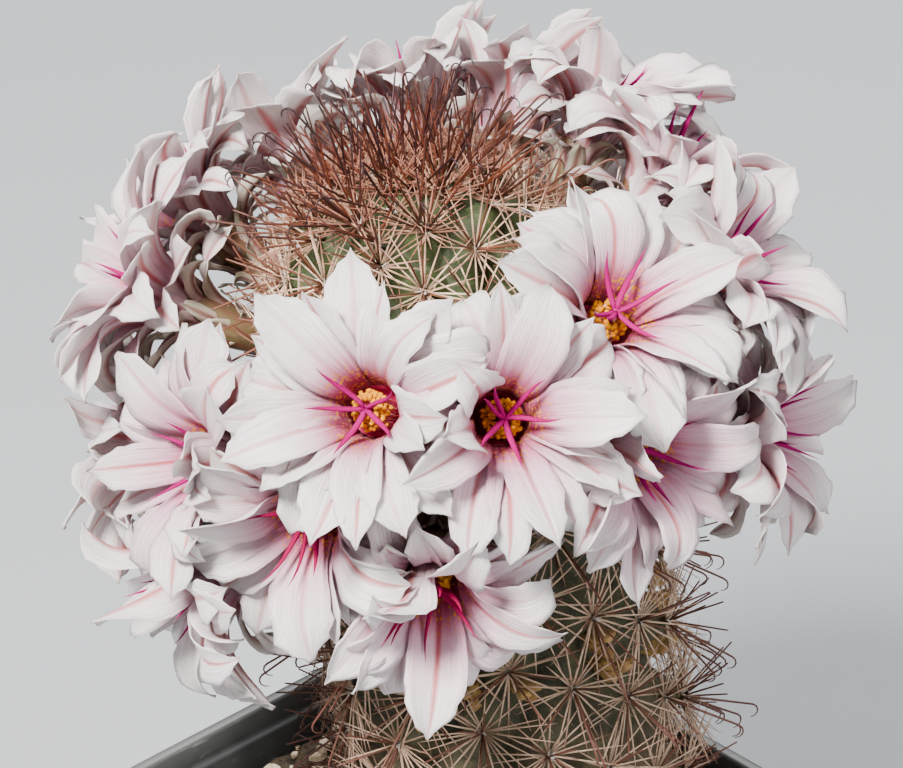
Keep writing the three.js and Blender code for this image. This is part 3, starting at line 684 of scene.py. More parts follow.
def along_path(pattern, path, radii, flat=1.0):
    """The rod pattern drawn along a path with a radius at each of the path's points."""
    firsts, seconds = path_frames(path)
    spot = pattern.ring(len(path) - 1)
    wide = pattern.points[:, 0] * radii[spot]
    high = pattern.points[:, 1] * radii[spot] * flat
    return path[spot] + firsts[spot] * column(wide) + seconds[spot] * column(high)


# The stem's outline and the places on it


def lean(depth):
    return LEAN_AT_APEX + LEAN_RATE * depth - LEAN_BEND * depth * depth


def axis_at(depth):
    return RIGHT * lean(depth) + UP * (APEX_Z - depth)


def radius_at(depth):
    """The stem's radius over the tips of its tubercles."""
    if depth < DOME_HEIGHT:
        rise = 1 - depth / DOME_HEIGHT
        return DOME_RADIUS * math.sqrt(max(0, 1 - rise * rise))
    wide = mix(DOME_RADIUS, STEM_RADIUS, smooth((depth - DOME_HEIGHT) / STEM_WIDENS_OVER))
    below = max(0, depth - NECK_DEPTH)
    return wide - NECK_TAPER * below * below


def up_at(depth):
    return unit(axis_at(depth - 0.5) - axis_at(depth + 0.5))


def slope_at(depth):
    above = radius_at(max(0, depth - SLOPE_STEP))
    return (radius_at(depth + SLOPE_STEP) - above) / (2 * SLOPE_STEP)


class Spot:
    """A spot on the stem: its point, its outward normal, the way up and the way round."""

    def __init__(self, depth, bearing):
        up = up_at(depth)
        out = swing(bearing, -AWAY, RIGHT)
        out = unit(out - up * out.dot(up))
        self.normal = unit(out + up * slope_at(depth))
        self.round = np.cross(up, out)
        self.rise = np.cross(self.normal, self.round)
        self.point = axis_at(depth) + out * radius_at(depth)
        self.out = out
        self.up = up
        self.bearing = bearing
        self.young = float(1 - smooth(depth / YOUNG_DEPTH))
        self.corky = float(smooth((depth - CORKY_FROM) / CORKY_OVER))


def areole_spots():
    """Areoles on one golden-angle spiral down the stem, closer together on the dome."""
    spots = []
    counted = 0.5
    chart = 0
    depth = SPIRAL_STEP
    while depth < NECK_DEPTH - 1:
        radius = radius_at(depth)
        run = math.hypot(SPIRAL_STEP, radius_at(depth + SPIRAL_STEP) - radius)
        cell = mix(TIP_CELL, BASE_CELL, smooth(depth / CELL_GROWS_OVER))
        counted += FULL_TURN * radius * run / cell
        chart += run / radius
        if counted >= 1:
            counted -= 1
            spot = Spot(depth, len(spots) * GOLDEN_ANGLE)
            spot.cell = cell
            spot.chart = chart
            spots.append(spot)
        depth += SPIRAL_STEP
    return spots


def stem_axils(areoles):
    """The low points between three tubercles, from the hull of the spots charted on a sphere."""
    last = areoles[-1].chart
    charted = [(spot.chart, spot.bearing) for spot in areoles]
    for level in range(2):
        for i in range(FOOT_SIDES):
            bearing = (i + level / 2) / FOOT_SIDES * FULL_TURN
            charted.append((last + FOOT_CHART_STEP * (level + 1), bearing))
    bm = bmesh.new()
    for chart, bearing in charted:
        latitude = 2 * math.atan(math.exp(chart - last / 2)) - math.pi / 2
        radius = math.cos(latitude)
        bm.verts.new((radius * math.cos(bearing), radius * math.sin(bearing), math.sin(latitude)))
    bm.verts.new((0, 0, 1))
    bm.verts.index_update()
    bmesh.ops.convex_hull(bm, input=bm.verts[:])
    axils = []
    for face in bm.faces:
        corners = [vert.index for vert in face.verts]
        if max(corners) >= len(areoles):
            continue
        three = [areoles[i] for i in corners]
        sunk = [spot.point - spot.normal * TUBERCLE_DEPTH * math.sqrt(spot.cell) for spot in three]
        axils.append(sum(sunk) / 3)
    bm.free()
    return axils


# Blooms and their petals


class Crowd:
    """Sample points of everything that later petals keep clear of, kept in boxed groups."""

    def __init__(self):
        self.groups = []
        self.owners = []
        self.lows = []
        self.highs = []

    def add(self, points, owner):
        self.groups.append(points)
        self.owners.append(owner)
        self.lows.append(points.min(0))
        self.highs.append(points.max(0))

    def meets(self, points, clear, kept):
        low, high = points.min(0) - clear, points.max(0) + clear
        touching = np.all((np.array(self.highs) > low) & (np.array(self.lows) < high), axis=1)
        touching &= kept(np.array(self.owners))
        for index in np.flatnonzero(touching):
            group = self.groups[index]
            near = group[np.all((group > low) & (group < high), axis=1)]
            if len(near):
                apart = ((points[:, None, :] - near[None, :, :]) ** 2).sum(2)
                if apart.min() < clear * clear:
                    return True
        return False


class Bloom:
    """A bloom's place: its mouth, the way it faces, and the tube that roots it in its axil."""

    def __init__(self, index, plan, axils):
        bearing, depth, rise, reach = plan
        self.index = index
        self.number = f"_{index + 1:02d}"
        spot = Spot(depth, bearing * DEGREE)
        self.facing = swing(rise * DEGREE, spot.out, spot.up)
        self.mouth = spot.point + self.facing * reach
        wanted = spot.point - self.facing * TUBE_DEPTH
        nearest = min(range(len(axils)), key=lambda i: np.linalg.norm(axils[i] - wanted))
        foot = axils.pop(nearest)
        self.neck = self.mouth - self.facing * CONE_DEPTH
        self.across = unit(np.cross(self.facing, spot.round))
        self.side = unit(np.cross(self.across, self.facing))
        self.start = foot + unit(self.neck - foot) * 0.4

    def outward(self, turn):
        return swing(turn, self.side, self.across)

    def ahead(self, rise):
        """The point at a distance in front of the mouth."""
        return self.mouth + self.facing * rise

    def skin_at(self, low):
        """The middle and the radius of the tube at a distance below its mouth."""
        if low <= CONE_DEPTH:
            share = low / CONE_DEPTH
            radius = mix(THROAT_RADIUS, THROAT_FLOOR, share) + TUBE_WALL
            return mix(self.mouth, self.neck, share), radius
        share = min(1, (low - CONE_DEPTH) / np.linalg.norm(self.neck - self.start))
        return mix(self.neck, self.start, share), mix(NECK_RADIUS, TUBE_FOOT, share)

    def rings(self, foot_radius, steps_below, steps_above):
        """The tube's rings from its foot to its neck and on to its mouth."""
        yield self.start, foot_radius
        for share in shares(steps_below)[1:]:
            yield mix(self.start, self.neck, share), mix(TUBE_FOOT, NECK_RADIUS, share)
        for share in shares(steps_above)[1:]:
            yield mix(self.neck, self.mouth, share), mix(NECK_RADIUS, RIM_RADIUS, share)

    def circle(self, centre, radius, count):
        return centre + radius * self.outward(np.arange(count) / count * FULL_TURN)

    def tube_samples(self):
        rings = list(self.rings(TUBE_FOOT, 8, 8))[1:]
        return np.concatenate([self.circle(*ring, 10) for ring in rings])

    def face_samples(self):
        """The space in front of the throat that stays open, as a short cone."""
        samples = []
        for rise in np.arange(FACE_START, FACE_END, FACE_STEP):
            centre = self.ahead(rise)
            samples.append(centre[None, :])
            for radius in np.arange(FACE_RING, FACE_RADIUS + rise * FACE_WIDENS, FACE_RING):
                samples.append(self.circle(centre, radius, 8))
        return np.concatenate(samples)


PETAL_SHARES = shares(PETAL_STEPS)


class Petal:
    """A petal leaves the tube's rim upright and bends out to its flare."""

    def __init__(self, bloom, angle, flare, sway, scale, low=0.0, width=1.0):
        self.scale = scale
        self.width = width
        opened = mix(ROOT_LEAN, flare, smooth(PETAL_SHARES / OPEN_BY))
        curl = TIP_CURL * np.maximum(0, PETAL_SHARES - CURL_FROM) / (1 - CURL_FROM)
        lean_out = (opened + curl) * DEGREE
        turns = angle + sway * PETAL_SHARES
        out = bloom.outward(turns)
        cosine, sine = column(np.cos(lean_out)), column(np.sin(lean_out))
        self.normals = bloom.facing * sine - out * cosine
        self.across = swing(turns, bloom.across, -bloom.side)
        centre, radius = bloom.skin_at(low)
        start = centre + bloom.outward(angle) * (radius - TUBE_WALL / 2)
        length = PETAL_LENGTH * scale
        self.points = walk(start, (bloom.facing * cosine + out * sine) * length / PETAL_STEPS)

    def samples(self):
        wide = np.interp(PETAL_SHARES, *zip(*PETAL_OUTLINE)) * PETAL_WIDTH * self.scale * self.width
        kept = slice(PETAL_STEPS // 5, None)
        spread = np.arange(-3, 4) / 3
        half = (wide[kept] / 2)[:, None, None] * spread[None, :, None]
        placed = self.points[kept][:, None, :] + half * self.across[kept][:, None, :]
        return placed.reshape(-1, 3)


def natural_petal(index, k):
    seed = index * PETAL_SEEDS + k
    flare = (INNER_FLARE if k % 2 else OUTER_FLARE) + around(FLARE_SPREAD, seed)
    return (k + 0.5) / PETALS * FULL_TURN, flare, between(0.92, 1.06, seed + 0.37)


def first_fit(bloom, crowd, faces, clear, options, others_only=False, **shape):
    """The first of the ways to grow that keeps a petal clear of the petals laid so far."""
    for angle, flare, sway, scale in options:
        petal = Petal(bloom, angle, flare, sway, scale, **shape)
        samples = petal.samples()
        if crowd.meets(samples, clear, lambda owners: np.floor(owners) != bloom.index):
            continue
        beyond_root = samples[math.floor(len(samples) * 0.35) :]
        mine = not others_only
        if mine and crowd.meets(beyond_root, clear, lambda owners: owners == bloom.index):
            continue
        if faces.meets(samples, FACE_CLEAR, lambda owners: owners != bloom.index):
            continue
        crowd.add(samples, bloom.index)
        return petal
    return None


def petal_options(angle, flare, scale, least, *choices):
    for shorter, bend, sway in itertools.product(*choices):
        yield angle, max(least, flare + bend), sway * DEGREE, scale * shorter


def keep_petal(bloom, petal, outer, sunk, seed):
    """Notes how like a sepal a petal is, how far it lies below the others, and its own seed."""
    if petal:
        petal.outer = outer
        petal.sunk = sunk
        petal.seed = seed
        bloom.petals.append(petal)


def arrange_blooms(axils):
    blooms = [Bloom(index, plan, axils) for index, plan in enumerate(BLOOM_PLAN)]
    crowd = Crowd()
    faces = Crowd()
    for bloom in blooms:
        crowd.add(bloom.tube_samples(), bloom.index + 0.5)
        faces.add(bloom.face_samples(), bloom.index)
    for bloom in blooms:
        bloom.petals = []
        for k in range(PETALS):
            options = petal_options(*natural_petal(bloom.index, k), 4, SHORTENED, BENDS, SWAYS)
            petal = first_fit(bloom, crowd, faces, PETAL_CLEAR, options)
            outer, sunk = (0.0, -0.2) if k % 2 else (0.3, 0.3)
            keep_petal(bloom, petal, outer, sunk, bloom.index * PETAL_SEEDS + k)
    for bloom in blooms:
        add_tepals(bloom, crowd, faces)
    return blooms, crowd


# The tepals between and behind the ten main petals of each bloom: how many, where their ring
# starts, how far they flare, their size and width, how far below the rim they grow, the
# clearance they keep, how like a sepal they are and how much they sink below the main petals
TEPAL_LAYERS = (
    (10, 0.0, 70, 0.95, 0.95, 0.0, 0.95, 0.12, 0.1),
    (8, 0.3, 88, 0.88, 0.85, 1.6, 0.75, 0.6, 0.0),
    (7, 0.1, 80, 0.62, 0.62, 4.2, 0.5, 1.0, 0.0),
    (7, 0.6, 34, 0.5, 0.6, 7.0, 0.3, 1.15, 0.0),
    (6, 0.2, 24, 0.42, 0.6, 10.0, 0.3, 1.25, 0.0),
    (5, 0.7, 20, 0.36, 0.55, 13.0, 0.3, 1.3, 0.0),
)
TEPAL_BENDS = (0, 9, -9, 18, -18, -30, -42, -54)
TEPAL_SWAYS = (0, 16, -16, 32, -32)
BEHIND_FROM = 0.5
SEPAL_FROM = 1.0

# Seeds that set the petals of one bloom apart from those of the next
PETAL_SEEDS = 31
TEPAL_SEEDS = 57


def add_tepals(bloom, crowd, faces):
    for count, offset, flare, size, width, low, clear, outer, sunk in TEPAL_LAYERS:
        for k in range(count):
            seed = bloom.index * TEPAL_SEEDS + k + flare
            angle = (k + offset + around(0.3, seed + 0.2)) / count * FULL_TURN
            lean_out = flare + around(20, seed + 0.4)
            scale = size * between(0.9, 1.08, seed + 0.6)
            options = petal_options(angle, lean_out, scale, 6, (1, 0.8), TEPAL_BENDS, TEPAL_SWAYS)
            depth = low + 1.6 * chance(seed + 0.8) * (low > 0)
            petal = first_fit(bloom, crowd, faces, clear, options, True, low=depth, width=width)
            keep_petal(bloom, petal, outer, sunk, seed + 0.77)


# The finished outline, a broad lance shape whose blunt end is drawn out to a point
WIDTH_PLACES = (0, 0.12, 0.25, 0.4, 0.55, 0.68, 0.8, 0.88, 0.92, 0.95, 0.98, 1)
WIDTHS = (0.4, 0.5, 0.68, 0.88, 0.99, 1.0, 0.86, 0.6, 0.38, 0.17, 0.08, 0.01)
WIDTH_DRAWS = (0.86, 1.06)

# How far a petal's last stretch turns back or in, in degrees, and the share a sepal takes of it
CURL_OUT = 105
CURL_IN = 45
SEPAL_CURL = 0.4

# The relief of a petal: shares of its half width, and millimetres for the last four
TOOTH_DEPTH = 0.085
CUP_DRAWS = (0.12, 0.42)
KEEL = 0.55
MIDRIB_FOLD = 0.16
PLEAT = 0.035
TWIST = 1.9
EDGE_WAVE = 0.38
ROLL_DRAWS = (-1.0, 1.6)
ROOT_THICKNESS = 0.3
TIP_THICKNESS = 0.12


def curled_back(petal):
    """The petal's line again, with its last stretch bent further out and down."""
    draw = chance(petal.seed + 0.63)
    extra = CURL_OUT * max(0, draw - 0.5) / 0.5 - CURL_IN * max(0, 0.16 - draw) / 0.16
    extra *= 1 if petal.outer < SEPAL_FROM else SEPAL_CURL
    turned = extra * DEGREE * smooth((PETAL_SHARES - 0.55) / 0.45)
    ways = np.diff(petal.points, axis=0)
    ways = np.concatenate((ways, ways[-1:]))
    cosine, sine = column(np.cos(turned)), column(np.sin(turned))
    size = column(np.linalg.norm(ways, axis=1))
    normals = petal.normals * cosine + ways / size * sine
    return walk(petal.points[0], ways * cosine - petal.normals * sine * size), normals


def shape_petal(pattern, petal):
    """The slab pattern bent along a petal, cupped, pleated, and toothed near the point."""
    u, v, w = pattern.points.T
    points, normals = curled_back(petal)
    spot = v * PETAL_STEPS
    low = np.minimum(spot.astype(int), PETAL_STEPS - 1)
    part = column(spot - low)
    seed = petal.seed
    point = mix(points[low], points[low + 1], part)
    across = mix(petal.across[low], petal.across[low + 1], part)
    normal = mix(normals[low], normals[low + 1], part)
    half = np.interp(v, WIDTH_PLACES, WIDTHS) * PETAL_WIDTH * petal.scale * petal.width / 2
    half = half * between(*WIDTH_DRAWS, seed + 0.23)
    edge = np.abs(u) ** 3
    side = np.where(u > 0, 1.7, 5.3)
    teeth = np.sin(v * 83 + seed * 3 + side) + np.sin(v * 131 + seed * 7 + side)
    half = half * (1 + TOOTH_DEPTH * teeth * edge * smooth((v - 0.6) / 0.15) * (v < 0.97))
    cup = between(*CUP_DRAWS, seed + 0.1) * (1 - 0.45 * v)
    channel = cup * half * (u * u)
    keel = KEEL * max(0, chance(seed + 0.83) - 0.55) / 0.45
    fold = -MIDRIB_FOLD * half * np.exp(-((u / 0.14) ** 2)) * smooth(v / 0.2) * (1 - 0.6 * v)
    fold = fold + keel * half * (np.abs(u) - 0.4) * smooth(v / 0.4)
    pleats = PLEAT * half * np.sin(u * 11 + seed * 5) * smooth(v / 0.3)
    ripple = np.sin(v * 13 + seed * 11 + side) * smooth((v - 0.2) / 0.4)
    wave = EDGE_WAVE * edge * ripple * petal.scale
    twist = around(TWIST, seed + 0.9) * smooth((v - 0.3) / 0.7) * u * half
    roll = smooth((v - 0.6) / 0.4) * between(*ROLL_DRAWS, seed + 0.3)
    thick = mix(ROOT_THICKNESS, TIP_THICKNESS, v) * (1 - 0.45 * u * u)
    sunk = petal.sunk * smooth(v / 0.15)
    lift = channel + fold + pleats + wave + twist - roll * v - sunk + (w - 0.5) * thick
    return point + across * column(u * half) + normal * column(lift)


def make_petals(bloom):
    piece = Piece()
    blush = chance(bloom.index * 3.7 + 0.2)
    for petal in bloom.petals:
        layer = "behind" if petal.outer > BEHIND_FROM else "petal"
        pattern = PATTERNS["scale" if petal.outer >= SEPAL_FROM else layer]
        u, v, w = pattern.points.T
        numbers = {"across": u, "along": v, "back": 1 - w, "outer": petal.outer, "blush": blush}
        piece.add(pattern, shape_petal(pattern, petal), draw=chance(petal.seed + 0.5), **numbers)
    piece.finish("petals" + bloom.number, "petal", "petals", "bloom" + bloom.number)


# The crimson cup inside the throat, out of which the stamens and the style stand
CUP_DEPTH = 2.2
CUP_FLOOR = 2.3


def make_tube(bloom):
    """The tube is a rod whose path turns back at the rim, so its throat is open."""
    outside = list(bloom.rings(TUBE_FOOT * 0.5, 6, 5))
    floor_point = bloom.ahead(-CUP_DEPTH)
    inside = [(bloom.ahead(0.2), THROAT_RADIUS + 0.35)]
    for share in shares(5):
        inside.append((mix(bloom.mouth, floor_point, share), mix(THROAT_RADIUS, CUP_FLOOR, share)))
    rings = [*outside, *inside, (floor_point, 0.02)]
    centres, radii = map(np.array, zip(*rings))
    pattern = PATTERNS["tube"]
    spot = pattern.ring(len(rings) - 1)
    flutes = 1 + 0.05 * np.sin(pattern.angle * 8)
    wide = column(pattern.points[:, 0] * radii[spot] * flutes) * bloom.side
    high = column(pattern.points[:, 1] * radii[spot] * flutes) * bloom.across
    share = np.minimum(1, spot / (len(outside) - 1))
    inner = (spot >= len(outside)).astype(float)
    piece = Piece()
    piece.add(pattern, centres[spot] + wide + high, along=share, across=pattern.angle, back=inner)
    piece.finish("tube" + bloom.number, "tube", "petals", "bloom" + bloom.number)


ANTHERS = 58
FILAMENT_STEPS = 3
FILAMENT_RADIUS = 0.085
AGED_BLOOMS = (4, 5)
LOBE_STEPS = 8
LOBE_ROOM = 0.8


def make_stamens(bloom):
    heads = Piece()
    stalks = Piece()
    x, y, z = PATTERNS["anther"].points.T
    lobed = 1 - 0.22 * np.exp(-((x / 0.3) ** 2))
    for i in range(ANTHERS):
        seed = bloom.index * 101 + i
        share = math.sqrt((i + 0.5) / ANTHERS)
        out = bloom.outward(i * GOLDEN_ANGLE)
        radius = mix(0.7, STAMEN_RADIUS - 0.2, share) + around(0.4, seed + 0.1)
        height = STAMEN_RISE + 0.7 + 1.3 * (1 - share * share) + around(1.1, seed + 0.2)
        end = bloom.ahead(height) + out * radius
        start = bloom.ahead(0.5 - THROAT_DEPTH) + out * mix(0.7, THROAT_FLOOR - 0.25, share)
        middle = (start + end) / 2 + out * 0.25
        steps = column(shares(FILAMENT_STEPS))
        path = (1 - steps) ** 2 * start + 2 * steps * (1 - steps) * middle + steps**2 * end
        stalks.thread(PATTERNS["stalk"], path, np.full(len(path), FILAMENT_RADIUS))
        size = between(0.36, 0.47, seed + 0.3)
        first = bloom.outward(chance(seed + 0.4) * math.pi)
        second = np.cross(bloom.facing, first)
        wide, deep, high = column(x * 1.1), column(y * 0.9 * lobed), column(z * 0.9 * lobed)
        placed = end + size * (wide * first + deep * second + high * bloom.facing)
        heads.add(PATTERNS["anther"], placed, draw=chance(seed + 0.6))
    node = "stamens" + bloom.number
    heads.finish("anthers" + bloom.number, "anther", "anthers", node)
    stalks.finish("filaments" + bloom.number, "filament", "anthers", node)


def lobe_path(bloom, turn, spread, curl):
    out = bloom.outward(turn)
    cosine, sine = math.cos(spread * DEGREE), math.sin(spread * DEGREE)
    along = shares(LOBE_STEPS)
    rise = STYLE_RISE + LOBE_LENGTH * along * (cosine + 0.25 * (along - 0.5))
    rise = rise + (abs(curl) * 1.5 + 0.6) * along**2
    reach = LOBE_LENGTH * along * sine * (1 - 0.16 * along) + 0.15
    sideways = np.cross(bloom.facing, out) * curl * 1.3
    path = bloom.mouth + column(rise) * bloom.facing + column(reach) * out
    return path + column(np.sin(along * 2.4) * along) * sideways


def make_pistil(bloom, tree):
    piece = Piece()
    pattern = PATTERNS["lobe"]
    aged = 0.85 if bloom.index in AGED_BLOOMS else 0.25 * chance(bloom.index + 0.31)
    along = shares(LOBE_STEPS)
    sway = bloom.side * around(0.35, bloom.index + 0.7)
    path = mix(bloom.ahead(0.4 - THROAT_DEPTH), bloom.ahead(STYLE_RISE + 0.25), column(along))
    path = path + sway * column(np.sin(along * math.pi))
    piece.thread(pattern, path, np.linspace(0.36, 0.42, len(path)), along=0.12, draw=aged)
    radii = 0.4 * (1 - along**2.2) * (0.8 + 0.25 * np.sin(along * math.pi)) + 0.03
    lobes = 5 + int(chance(bloom.index + 0.2) * 2)
    for i in range(lobes):
        seed = bloom.index * 13 + i
        turn = (i + 0.5 + around(0.7, seed)) / lobes * FULL_TURN
        curl = around(3.4 if aged > 0.5 else 2.2, seed + 0.4)
        for spread in LOBE_SPREADS:
            path = lobe_path(bloom, turn, spread + around(18, seed + 0.6), curl)
            if all(tree.find(point)[2] > LOBE_ROOM for point in path[3:]):
                break
        piece.thread(pattern, path, radii, 0.7, along=0.35 + 0.65 * pattern.share, draw=aged)
    piece.finish("stigma" + bloom.number, "stigma", "stigma", "pistil" + bloom.number)


# The stem's skin, spines and wool


BODY_TURNS = 200
BODY_ROWS = 180
APEX_HOLE = 0.004
ROW_STEP = 0.1
TUBERCLE_EDGE = 1.12
GREEN_TO = 14
BROWN_FROM = 62
SKIN_AGES_OVER = 30
WELD = 0.00001


def body_rows():
    """The depths of the body's rows, evenly spaced along its outline."""
    depths = [0.0]
    while depths[-1] < BASE_DEPTH - 1:
        depth = depths[-1]
        slope = abs(radius_at(depth + SLOPE_STEP) - radius_at(depth)) / SLOPE_STEP
        depths.append(depth + ROW_STEP / math.hypot(1, slope))
    rows = np.interp(shares(BODY_ROWS), shares(len(depths) - 1), depths)
    rows[0] = APEX_HOLE
    return rows


def make_stem_body(areoles):
    """A grid wrapped round the stem, sunk between the tubercles by its distance from their tips."""
    wrapped = grid_pattern(BODY_TURNS, BODY_ROWS)
    height, young, corky = np.zeros((3, len(wrapped.points)))
    tips = np.array([spot.point for spot in areoles])
    sizes = np.array([math.sqrt(spot.cell / math.pi) * 1.04 for spot in areoles])
    deeps = np.array([TUBERCLE_DEPTH * math.sqrt(spot.cell) for spot in areoles])
    columns = np.rint((wrapped.points[:, 0] + 1) / 2 * BODY_TURNS).astype(int) % BODY_TURNS
    levels = np.rint((wrapped.points[:, 1] + 1) / 2 * BODY_ROWS).astype(int)
    angles = np.arange(BODY_TURNS) / BODY_TURNS * FULL_TURN
    placed = np.zeros_like(wrapped.points)
    for level, depth in enumerate(body_rows()):
        up = up_at(depth)
        out = swing(angles, -AWAY, RIGHT)
        out = units(out - column(out @ up) * up)
        normal = units(out + up * slope_at(depth))
        skin = axis_at(depth) + out * radius_at(depth)
        apart = np.linalg.norm(skin[:, None, :] - tips[None, :, :], axis=2) / sizes
        share = np.minimum(apart.min(1), TUBERCLE_EDGE)
        sunk = deeps[apart.argmin(1)] * share**1.3
        if depth > NECK_DEPTH:
            sunk = np.maximum(sunk, FOOT_INSET * min(1, (depth - NECK_DEPTH) / 3))
        where = levels == level
        ring = columns[where]
        placed[where] = (skin - normal * column(sunk) + up * column(0.5 * (1 - share)))[ring]
        height[where] = (1 - share / TUBERCLE_EDGE)[ring]
        young[where] = 1 - smooth((depth - GREEN_TO) / SKIN_AGES_OVER)
        corky[where] = smooth((depth - BROWN_FROM) / SKIN_AGES_OVER)
    placed[levels == BODY_ROWS] = axis_at(BASE_DEPTH - 0.5)
    piece = Piece()
    piece.add(wrapped, placed, height=height, young=young, corky=corky)
    body = piece.finish("stem_body", "skin", "cactus_skin", "stem")
    bm = bmesh.new()
    bm.from_mesh(body.data)
    bmesh.ops.remove_doubles(bm, verts=bm.verts, dist=WELD)
    bmesh.ops.recalc_face_normals(bm, faces=bm.faces)
    bm.to_mesh(body.data)
    bm.free()


# Pairs of lengths and tilts are those of an old areole's spines and of a young one's
RADIALS = 21
BUD_RADIALS = 12
BUD_SHARE = 0.8
RADIAL_LENGTHS = (9.4, 7.0)
RADIAL_TILTS = (14, 42)
RADIAL_RADIUS = 0.15
RADIAL_STEPS = 3
CENTRALS = 5
HOOKED_CENTRALS = 2
HOOKED_SHARE = 0.75
CENTRAL_LENGTHS = (8.6, 10.8)
CENTRAL_TILTS = (50, 66)
HOOKED_RADIUS = 0.175
STRAIGHT_RADIUS = 0.14
HOOK_BEND = 2.8
STRAIGHT_BEND = 0.14
HOOK_ROOM = 1.2
SHORTEST_CENTRAL = 2.5
SHAFT_STEPS = 4
BOW_STEPS = 5
BOW_RADIUS = 0.95
TUFTS = 14
TUFT_RADII = np.array((0.14, 0.11, 0.03))
APEX_BUDS = 26
FOOT_AREOLES = 17
FOOT_SPOT_DEPTH = NECK_DEPTH + 2.8
SPINE_ROOM = 0.62
SHORTEST_SPINE = 2.6


def clear_length(base, way, long, tree):
    """How far a spine may run before it meets a petal, or 0 where it has no room."""
    for share in np.arange(0.15, 1.01, 0.1):
        point = base + way * long * share
        beyond = max(abs(point[0]), abs(point[1])) > POT_WIDTH / 2 - RIM_TOP - LEDGE_WIDTH - 0.5
        in_pot = point[2] < SOIL_TOP + 0.6 or (point[2] < POT_HEIGHT + 0.5 and beyond)
        if in_pot or tree.find(point)[2] < SPINE_ROOM:
            reached = (share - 0.12) * long
            return reached if reached > SHORTEST_SPINE else 0
    return long


def spine_way(spot, angle, tilt):
    return unit(swing(tilt * DEGREE, swing(angle, spot.round, spot.rise), spot.normal))


def add_spine(spot, seed, piece, pattern, path, radii):
    numbers = {"young": spot.young, "corky": spot.corky, "draw": chance(seed + 0.8)}
    piece.thread(pattern, path, radii, **numbers)


def add_radials(spot, index, piece, pattern, tree):
    bud = index < APEX_BUDS
    count = BUD_RADIALS if bud else RADIALS + int(chance(index + 0.15) * 4)
    along = shares(RADIAL_STEPS)
    radii = RADIAL_RADIUS * (1 - 0.85 * along**2)
    for i in range(count):
        seed = index * 17.3 + i
        angle = (i + around(0.6, seed)) / count * FULL_TURN + index
        tilt = mix(*RADIAL_TILTS, spot.young) + around(20, seed + 0.2)
        long = mix(*RADIAL_LENGTHS, spot.young) * between(0.78, 1.1, seed + 0.4)
        long *= BUD_SHARE if bud else 1
        way = spine_way(spot, angle, tilt)
        base = spot.point + (way - spot.normal * way.dot(spot.normal)) * 0.45 - spot.normal * 0.1
        long = clear_length(base, way, long, tree)
        if long:
            bow = -spot.normal * 0.07 * long * (chance(seed + 0.5) - 0.2)
            path = base + way * long * column(along) + bow * column(along**2)
            add_spine(spot, seed, piece, pattern, path, radii)


def hook_path(base, way, down, long, bend):
    """A straight shaft whose last stretch turns round a small bow towards the stem's foot."""
    shaft = base + way * column(long * shares(SHAFT_STEPS))
    turns = shares(BOW_STEPS)[1:] * bend
    ahead, aside = column(BOW_RADIUS * np.sin(turns)), column(BOW_RADIUS * (1 - np.cos(turns)))
    return np.concatenate((shaft, shaft[-1] + way * ahead + down * aside))


def add_centrals(spot, index, piece, pattern, tree):
    count = CENTRALS + int(chance(index + 0.6) * 2)
    taper = 1 - 0.7 * shares(SHAFT_STEPS + BOW_STEPS) ** 1.5
    for i in range(count):
        seed = index * 23.7 + i
        hooked = i < HOOKED_CENTRALS and chance(seed + 0.1) < HOOKED_SHARE
        spread = (i - count / 2) * 0.95 + math.pi / 2 + around(0.5, seed)
        angle = -math.pi / 2 + around(1.2, seed) if hooked else spread
        tilt = mix(*CENTRAL_TILTS, spot.young) + around(30, seed + 0.2)
        long = mix(*CENTRAL_LENGTHS, spot.young) * between(0.72, 1.12, seed + 0.4)
        long *= 1.12 if hooked else 1
        way = spine_way(spot, angle, tilt)
        base = spot.point + way * 0.1
        long = clear_length(base, way, long + HOOK_ROOM, tree) - HOOK_ROOM
        if long >= SHORTEST_CENTRAL:
            down = unit(np.cross(np.cross(way, -spot.rise), way))
            path = hook_path(base, way, down, long, HOOK_BEND if hooked else STRAIGHT_BEND)
            radii = (HOOKED_RADIUS if hooked else STRAIGHT_RADIUS) * taper
            add_spine(spot, seed, piece, pattern, path, radii)


def add_wool(spot, index, piece, pattern):
    along = shares(len(TUFT_RADII) - 1)
    for i in range(TUFTS):
        seed = index * 31.1 + i
        angle = chance(seed) * FULL_TURN
        way = spine_way(spot, angle, 20 + 60 * chance(seed + 0.3))
        base = spot.point - spot.normal * 0.25 + way * 0.15
        long = between(0.5, 1.1, seed + 0.5) * mix(1, 1.3, spot.young)
        curl = spine_way(spot, angle + 1.6, 30) * 0.35
        path = base + way * long * column(along) + curl * column(along**2)
        piece.thread(pattern, path, TUFT_RADII, draw=chance(index * 1.7 + 0.3))


def make_spines(areoles, tree):
    radials, centrals, wool = Piece(), Piece(), Piece()
    buds = [Spot(0.06 + 0.14 * i, i * GOLDEN_ANGLE + 1.1) for i in range(APEX_BUDS)]
    old = [Spot(FOOT_SPOT_DEPTH, (i + 0.5) / FOOT_AREOLES * FULL_TURN) for i in range(FOOT_AREOLES)]
    for spot in old:
        spot.point = spot.point - spot.normal * (FOOT_INSET * 0.9)
    for index, spot in enumerate(buds + areoles + old):
        add_radials(spot, index, radials, PATTERNS["radial"], tree)
        add_centrals(spot, index, centrals, PATTERNS["central"], tree)
        add_wool(spot, index, wool, PATTERNS["fluff"])
    radials.finish("radial_spines", "radial", "cactus_skin", "stem")
    centrals.finish("central_spines", "central", "cactus_skin", "stem")
    wool.finish("areole_wool", "wool", "cactus_skin", "stem")


HUSK_STEPS = 8
HUSK_STRANDS = 3
HUSK_SHARE = 0.42
HUSKS_FROM = 33
HUSKS_TO = 66
HUSK_ROOM = 1.0


